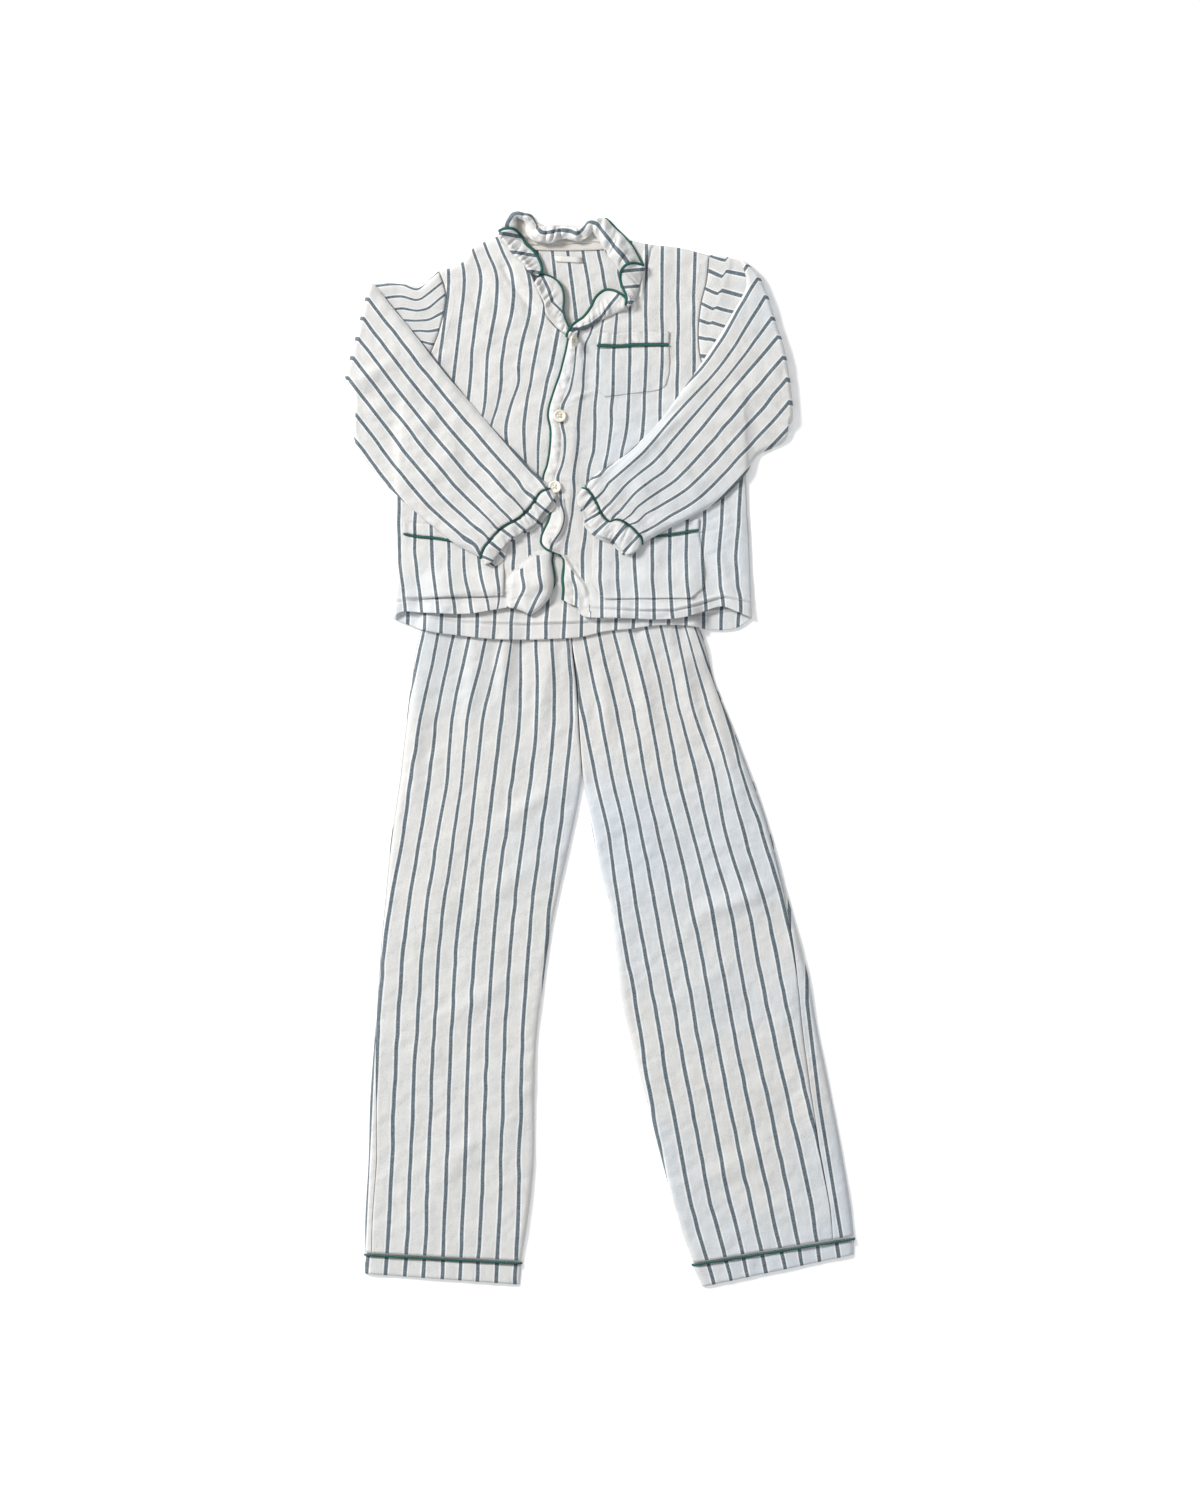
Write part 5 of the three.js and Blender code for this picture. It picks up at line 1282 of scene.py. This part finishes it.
# Collar rolled round the neck, columns: inner x, y, outer x, y, share of the width where its stripe runs
ROLL = [
    [-101, 622, -121, 621, 0.53], [-100, 628, -120, 632, 0.54], [-99, 636, -114, 641, 0.50],
    [-99, 638, -101, 646, 0.69], [-95, 636, -90, 644, 0.80], [-91, 634, -82, 642, 0.85],
    [-89, 630, -78, 636, 0.95], [-89, 624, -76, 629, 1.00], [-87, 618, -74, 627, 0.90],
    [-82, 612, -71, 628, 0.75], [-75, 609, -65, 629, 0.54], [-66, 608, -58, 630, 0.52],
    [-57, 608, -52, 630, 0.60], [-50, 611, -46, 630, 0.61], [-41, 613, -39, 630, 0.53],
    [-35, 611, -34, 630, 0.55], [-28, 609, -28, 629, 0.47], [-20, 612, -23, 628, 0.65],
    [-15, 615, -19, 630, 0.80], [-10, 620, -15, 634, 0.85], [-8, 620, -8, 637, 0.68],
    [-5, 615, 1, 638, 0.55], [0, 609, 8, 636, 0.43], [6, 599, 19, 625, 0.41], [12, 589, 29, 615, 0.42],
    [19, 579, 38, 604, 0.47], [24, 572, 46, 590, 0.50], [29, 570, 52, 579, 0.50]]


def straight(x, y, points, steep, pitch=20.0):
    """Stripe number beside one stripe that runs through the points; a steep one is given by y, then x."""
    table = np.array(sorted(points), float)
    if steep:
        return (x - np.interp(y, table[:, 0], table[:, 1])) / pitch
    return (y - np.interp(x, table[:, 0], table[:, 1])) / pitch


def leaf(name, root, free, lift, crown, number, side, nodes, cord_name, wide, softness=2.0):
    """Leaf of cloth that rises from its root to its free edge, with a cord along that edge."""
    rows, columns = 96, 19
    first, second = curve(root, rows), curve(free, rows)
    grid = between(first, second, columns)
    u = np.linspace(0, 1, columns)[None]
    along = lengths(second)[:, None]
    ends = rounded(along, 9) * rounded(along[-1] - along, 9)
    ruffle = creased(along + 4 * u, 6 * u + 0 * along, 83 + len(name), 7, 9)
    rise = ends * (lift * u ** 1.3 + crown * np.sin(np.pi * u ** 0.8))
    rise += 4.2 * ruffle * np.sin(np.pi * u ** 0.7) * ends
    grid = laid(grid, COLLAR_GROUND, rise, softness)
    stripes = np.clip(number(grid[..., 0], grid[..., 1]), -0.5, 2.5)
    cloth(name, grid, woven(stripes, along), nodes)
    path = shifted(curve(grid[:, -1], 80), side * wide * 0.8)
    path[:, 2] += 0.3
    stamp("lapels", grid)
    cord("cord_" + cord_name, path, cord_name.replace("_", "_piping_"), "lapels", wide=wide)


tops["lapels"] = np.zeros((MAP_ROWS, MAP_COLUMNS))
leaf("lapel_right", LAPEL_RIGHT_ROOT, LAPEL_RIGHT_FREE, 4.5, 3.0,
     lambda x, y: straight(x, y, [[500, -20], [530, -50], [537, -57], [553, -62], [567, -69]], True),
     -1, ["lapel_facing_right"], "lapel_right", 1.15)
leaf("lapel_left", LAPEL_LEFT_ROOT, LAPEL_LEFT_FREE, 5.0, 3.0,
     lambda x, y: np.clip(straight(x, y, STRIPE_LAPEL_LEFT, False, 28.0), -0.5, 0.5),
     1, ["lapel_facing_left"], "lapel_left", 1.6)

grid = laid(between(curve(STAND_LOW, 60), curve(STAND_HIGH, 60), 14), FRONTS, 0.2, lift=0.35)
cloth("collar_stand", grid, grid[..., :2] / PITCH, [],
      material=unstriped)

# The roll: a round section, from under its inner edge over the top to its outer edge
roll = curve(ROLL, 330)
angle = np.radians(np.linspace(-60, 178, 27))[None]
middle = (roll[:, 0:2] + roll[:, 2:4]) / 2
half = np.linalg.norm(roll[:, 0:2] - roll[:, 2:4], axis=1) / 2
out = (roll[:, 0:2] - roll[:, 2:4]) / (2 * half[:, None])
along = lengths(middle)[:, None]
ruffle = noise(along + 0 * angle, 2.5 * angle + 0 * along, 87, 9, 3.0) - 0.5
fine = creased(along + angle, 2.5 * angle + 0 * along, 88, 8, 3.5) - 0.6
reach = half[:, None] * (1 + 0.16 * ruffle)
plan = middle[:, None] + out[:, None] * (reach * np.cos(angle))[..., None]
tall = np.minimum(half * 0.66, ROLL_TALL)[:, None] * (1 - 0.6 * eased(along, along[-1] - 22, along[-1]))
for loop_x, loop_y in LOOPS:
    away = (middle[:, 0] - loop_x) ** 2 + (middle[:, 1] - loop_y) ** 2
    tall = tall + LOOP_RISE * np.exp(-away / LOOP_REACH ** 2)[:, None]
turn = np.where(angle < np.pi / 2, np.sin(angle) + 0.87, 1.87 * np.sin(angle))
rise = 0.6 + tall * turn * (1 + 0.45 * ruffle + 0.45 * fine)
grid = lifted(plan, below(plan[..., 0], plan[..., 1], COLLAR_GROUND, 3.0) + rise)
start = np.arccos(np.clip(1 - 2 * roll[:, 4:5], -1, 1))
number = np.clip((angle - start) * half[:, None] * 0.85 / PITCH, -0.5, 0.5)
cloth("collar", grid, woven(number + 0.05 * ruffle, along), ["collar"])
stamp("lapels", grid)

leaf("collar_end_right", FALL_RIGHT_ROOT, FALL_RIGHT_FREE, 3.0, 2.6,
     lambda x, y: (616.5 - y - 0.12 * (x + 105)) / 20.5, -1, [], "collar_right", 1.75)
leaf("collar_end_left", FALL_LEFT_ROOT, FALL_LEFT_FREE, 3.0, 2.6,
     lambda x, y: (574 - y + 0.1 * (x - 40)) / 19.0, -1, [], "collar_left", 1.6, 5.0)
first = int(np.argmin(np.hypot(roll[:, 2] - 5, roll[:, 3] - 637)))
outer_edge = shifted(curve(np.concatenate([roll[first:, 2:4], grid[first:, -1, 2:]], 1), 60), 0.6)
outer_edge[:, 2] += 0.8
cord("cord_collar_left_edge", outer_edge, None, "lapels")

# Buttons, columns of the section: radius, height
BUTTON_SECTION = [
    [0.05, 0.1], [2.0, 0.1], [4.2, 0.2], [4.9, 0.5], [5.4, 1.0], [5.9, 1.25], [6.5, 1.25], [7.1, 1.0],
    [7.4, 0.5], [7.5, 0.0], [7.3, -0.6], [6.8, -1.0], [5.8, -1.25], [3.0, -1.3], [0.05, -1.3]]
HOLE_REACH = 1.75
HOLE_RADIUS = 0.95
HOLE_DEEP = 1.25
BUTTON_SIDES = 72
THREAD = 0.24


def shirt_button(node, lean):
    """Four-hole button with a raised rim, sewn on with crossed thread.

    Lean turns it, in degrees, about the line that runs up the front.
    """
    section = np.array(BUTTON_SECTION)
    steps = np.concatenate([np.linspace(0, 2, 17)[:-1], np.linspace(2, len(section) - 1, 31)])
    radius = np.interp(steps, np.arange(len(section)), section[:, 0])
    height = np.interp(steps, np.arange(len(section)), section[:, 1])
    angle = round_angles(BUTTON_SIDES)
    x, y = radius[:, None] * np.cos(angle), radius[:, None] * np.sin(angle)
    z = height[:, None] + 0 * x
    pit = np.hypot(np.abs(x) - HOLE_REACH, np.abs(y) - HOLE_REACH)
    sunk = HOLE_DEEP * (1 - eased(pit, HOLE_RADIUS - 0.2, HOLE_RADIUS + 0.1))
    z = np.where((steps < 4)[:, None], z - sunk, z)
    low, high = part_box(node)
    centre = np.array((low + high) / 2) / MM + MIDDLE
    c, s = math.cos(math.radians(lean)), math.sin(math.radians(lean))
    centre[2] = float(below(centre[:1], centre[1:2], COLLAR_GROUND)[0]) + 1.4 + 6.5 * abs(s)

    def leaned(p):
        x, y, z = np.moveaxis(p, -1, 0)
        return np.stack([x * c + z * s, y, z * c - x * s], -1) + centre

    number = np.arange(x.size).reshape(x.shape)
    around = np.concatenate([number, number[:, :1]], 1)
    faces = np.stack([around[:-1, :-1], around[1:, :-1], around[1:, 1:], around[:-1, 1:]], -1).reshape(-1, 4)
    faces = np.concatenate([faces, fans(number[0], number[-1])])
    points = leaned(np.stack([x, y, z], 2)).reshape(-1, 3)
    placed(mesh_piece("sewn_" + node, points, faces, points[:, :2] / PITCH, shell_button), "button", node)
    h = HOLE_REACH
    stops = np.array([[-h, -h, -1], [-h, -h, 0.45], [h, h, 0.6], [h, h, -1], [h, -h, -1], [h, -h, 0.55],
                      [-h, h, 0.75], [-h, h, -1]])
    cord("thread_" + node, leaned(np.repeat(stops, 2, 0))[1:-1], None, "lapels", THREAD, THREAD, thread,
         slot="button")


for node, lean in (("button_1", 58.0), ("button_2", 4.0), ("button_3", -4.0)):
    shirt_button(node, lean)


STITCH_PITCH = 2.7
STITCH_LONG = 1.9
STITCH_THICK = 0.2
STITCH_SIDES = 6
# Rings of a stitch: place along it, and how thick it is there
STITCH_RINGS = ((0.0, 0.35), (0.5, 1.0), (1.0, 0.35))
STITCH_ARCH = 0.12


def stitched(name, lines, names):
    """One mesh of small stitches along seams, each following the cloth under it."""
    faces, blocks = [], []
    angle = round_angles(STITCH_SIDES)
    total = 0
    for line in lines:
        size = lengths(curve(line, 120))[-1]
        count = int(size / STITCH_PITCH)
        share = (np.arange(count) + 0.5) / count
        ends = [curve(line, share + k * STITCH_LONG / 2 / size) for k in (-1, 1)]
        ends = [lifted(e, below(e[:, 0], e[:, 1], names, 0.7) + STITCH_THICK * 0.4) for e in ends]
        way = ends[1] - ends[0]
        way /= np.linalg.norm(way, axis=1, keepdims=True)
        level = np.stack([-way[:, 1], way[:, 0], 0 * way[:, 0]], 1)
        level /= np.linalg.norm(level, axis=1, keepdims=True)
        up = np.cross(way, level)
        round_way = level[:, None] * np.cos(angle)[None, :, None] + up[:, None] * np.sin(angle)[None, :, None]
        rings = []
        for part, wide in STITCH_RINGS:
            middle = ends[0] * (1 - part) + ends[1] * part + up * (STITCH_ARCH * (part == 0.5))
            rings.append(middle[:, None] + round_way * wide * STITCH_THICK)
        block = np.stack(rings, 1)
        number = total + np.arange(block[..., 0].size).reshape(block.shape[:3])
        total += block[..., 0].size
        around = np.concatenate([number, number[:, :, :1]], 2)
        for j in (0, 1):
            a, b = around[:, j], around[:, j + 1]
            faces.append(np.stack([a[:, 1:], a[:, :-1], b[:, :-1], b[:, 1:]], -1).reshape(-1, 4))
        for j, order in ((0, (0, 1, 2, 3)), (0, (0, 3, 4, 5)), (2, (3, 2, 1, 0)), (2, (5, 4, 3, 0))):
            faces.append(number[:, j][:, list(order)])
        blocks.append(block.reshape(-1, 3))
    points = np.concatenate(blocks)
    placed(mesh_piece(name, points, np.concatenate(faces), points[:, :2] / PITCH, thread), "cloth")


def outline(table, inset):
    """Sides and foot of a pocket, moved in."""
    left = [[r[0] + inset, r[1]] for r in table]
    right = [[r[2] - inset, r[3]] for r in table]
    left[-1][1] += inset
    right[-1][1] += inset
    return left + right[::-1]


placket = shifted(curve(EDGE_LEFT, np.linspace(0.2, 1, 60)), -PLACKET_WIDE)[::6]
stitched("stitches_jacket", [outline(t, 1.2) for t in (POCKET_RIGHT, POCKET_LEFT, CHEST_POCKET)] + [
    HEM_SEAM_LEFT, HEM_SEAM_RIGHT, placket,
    shifted(curve(ARM_RIGHT, 20), -10)[::3], shifted(curve(ARM_LEFT, 20), 10)[::3]], FRONTS)
stitched("stitches_back", [HEM_SEAM_BACK], ["trousers", "back"])
stitched("stitches_trousers", [
    [[-34, 131], [-33, 98], [-30.5, 62], [-30, 26], [-31, 12]],
    [[-39.5, 131], [-39, 98], [-36, 62], [-35, 26]],
    [[-281, -604], [-95, -614]],
    [[304, -585], [112, -616]]], ["trousers"])

# Floor, light and camera
floor_mesh = bpy.data.meshes.new("floor")
floor_mesh.from_pydata([(-3, -3, 0), (3, -3, 0), (3, 3, 0), (-3, 3, 0)], [], [(0, 1, 2, 3)])
floor_material, _, surface = shader("pale_floor")
surface.inputs["Base Color"].default_value = (0.97, 0.97, 0.97, 1.0)
surface.inputs["Roughness"].default_value = 1.0
surface.inputs["Emission Color"].default_value = (1.0, 1.0, 1.0, 1.0)
surface.inputs["Emission Strength"].default_value = 0.16
surface.inputs["Specular IOR Level"].default_value = 0.0
floor_mesh.materials.append(floor_material)
floor = linked("floor", floor_mesh)
floor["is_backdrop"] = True


def lamp(name, place, power, size, colour):
    """Square lamp that points at the frame's origin."""
    light = bpy.data.lights.new(name, "AREA")
    light.energy = power
    light.size = size
    light.color = colour
    holder = linked(name, light)
    holder.location = place
    holder.rotation_mode = "QUATERNION"
    holder.rotation_quaternion = (-holder.location).to_track_quat("-Z", "Y")


lamp("key", (-3.1, 2.4, 2.8), 228.0, 1.1, (1.0, 0.985, 0.965))
lamp("fill", (-1.4, -2.6, 2.4), 20.0, 2.5, (0.96, 0.98, 1.0))
world = bpy.data.worlds.new("studio")
bpy.context.scene.world = world
world.use_nodes = True
background = world.node_tree.nodes["Background"]
background.inputs["Color"].default_value = (0.97, 0.985, 1.0, 1.0)
background.inputs["Strength"].default_value = 0.5
bpy.context.scene.view_settings.view_transform = "Standard"

# The camera looks straight down on the middle of the photograph
PICTURE_HIGH_MM = 1800.0
LENS = 100.0
SENSOR = 36.0
camera = bpy.data.cameras.new("camera")
camera.lens = LENS
camera.sensor_width = SENSOR
camera.sensor_fit = "AUTO"
camera.clip_end = 50
eye = linked("camera", camera)
eye.location = (-MIDDLE[0] * MM, -MIDDLE[1] * MM, PICTURE_HIGH_MM * MM * LENS / SENSOR)
bpy.context.scene.camera = eye

low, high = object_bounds()
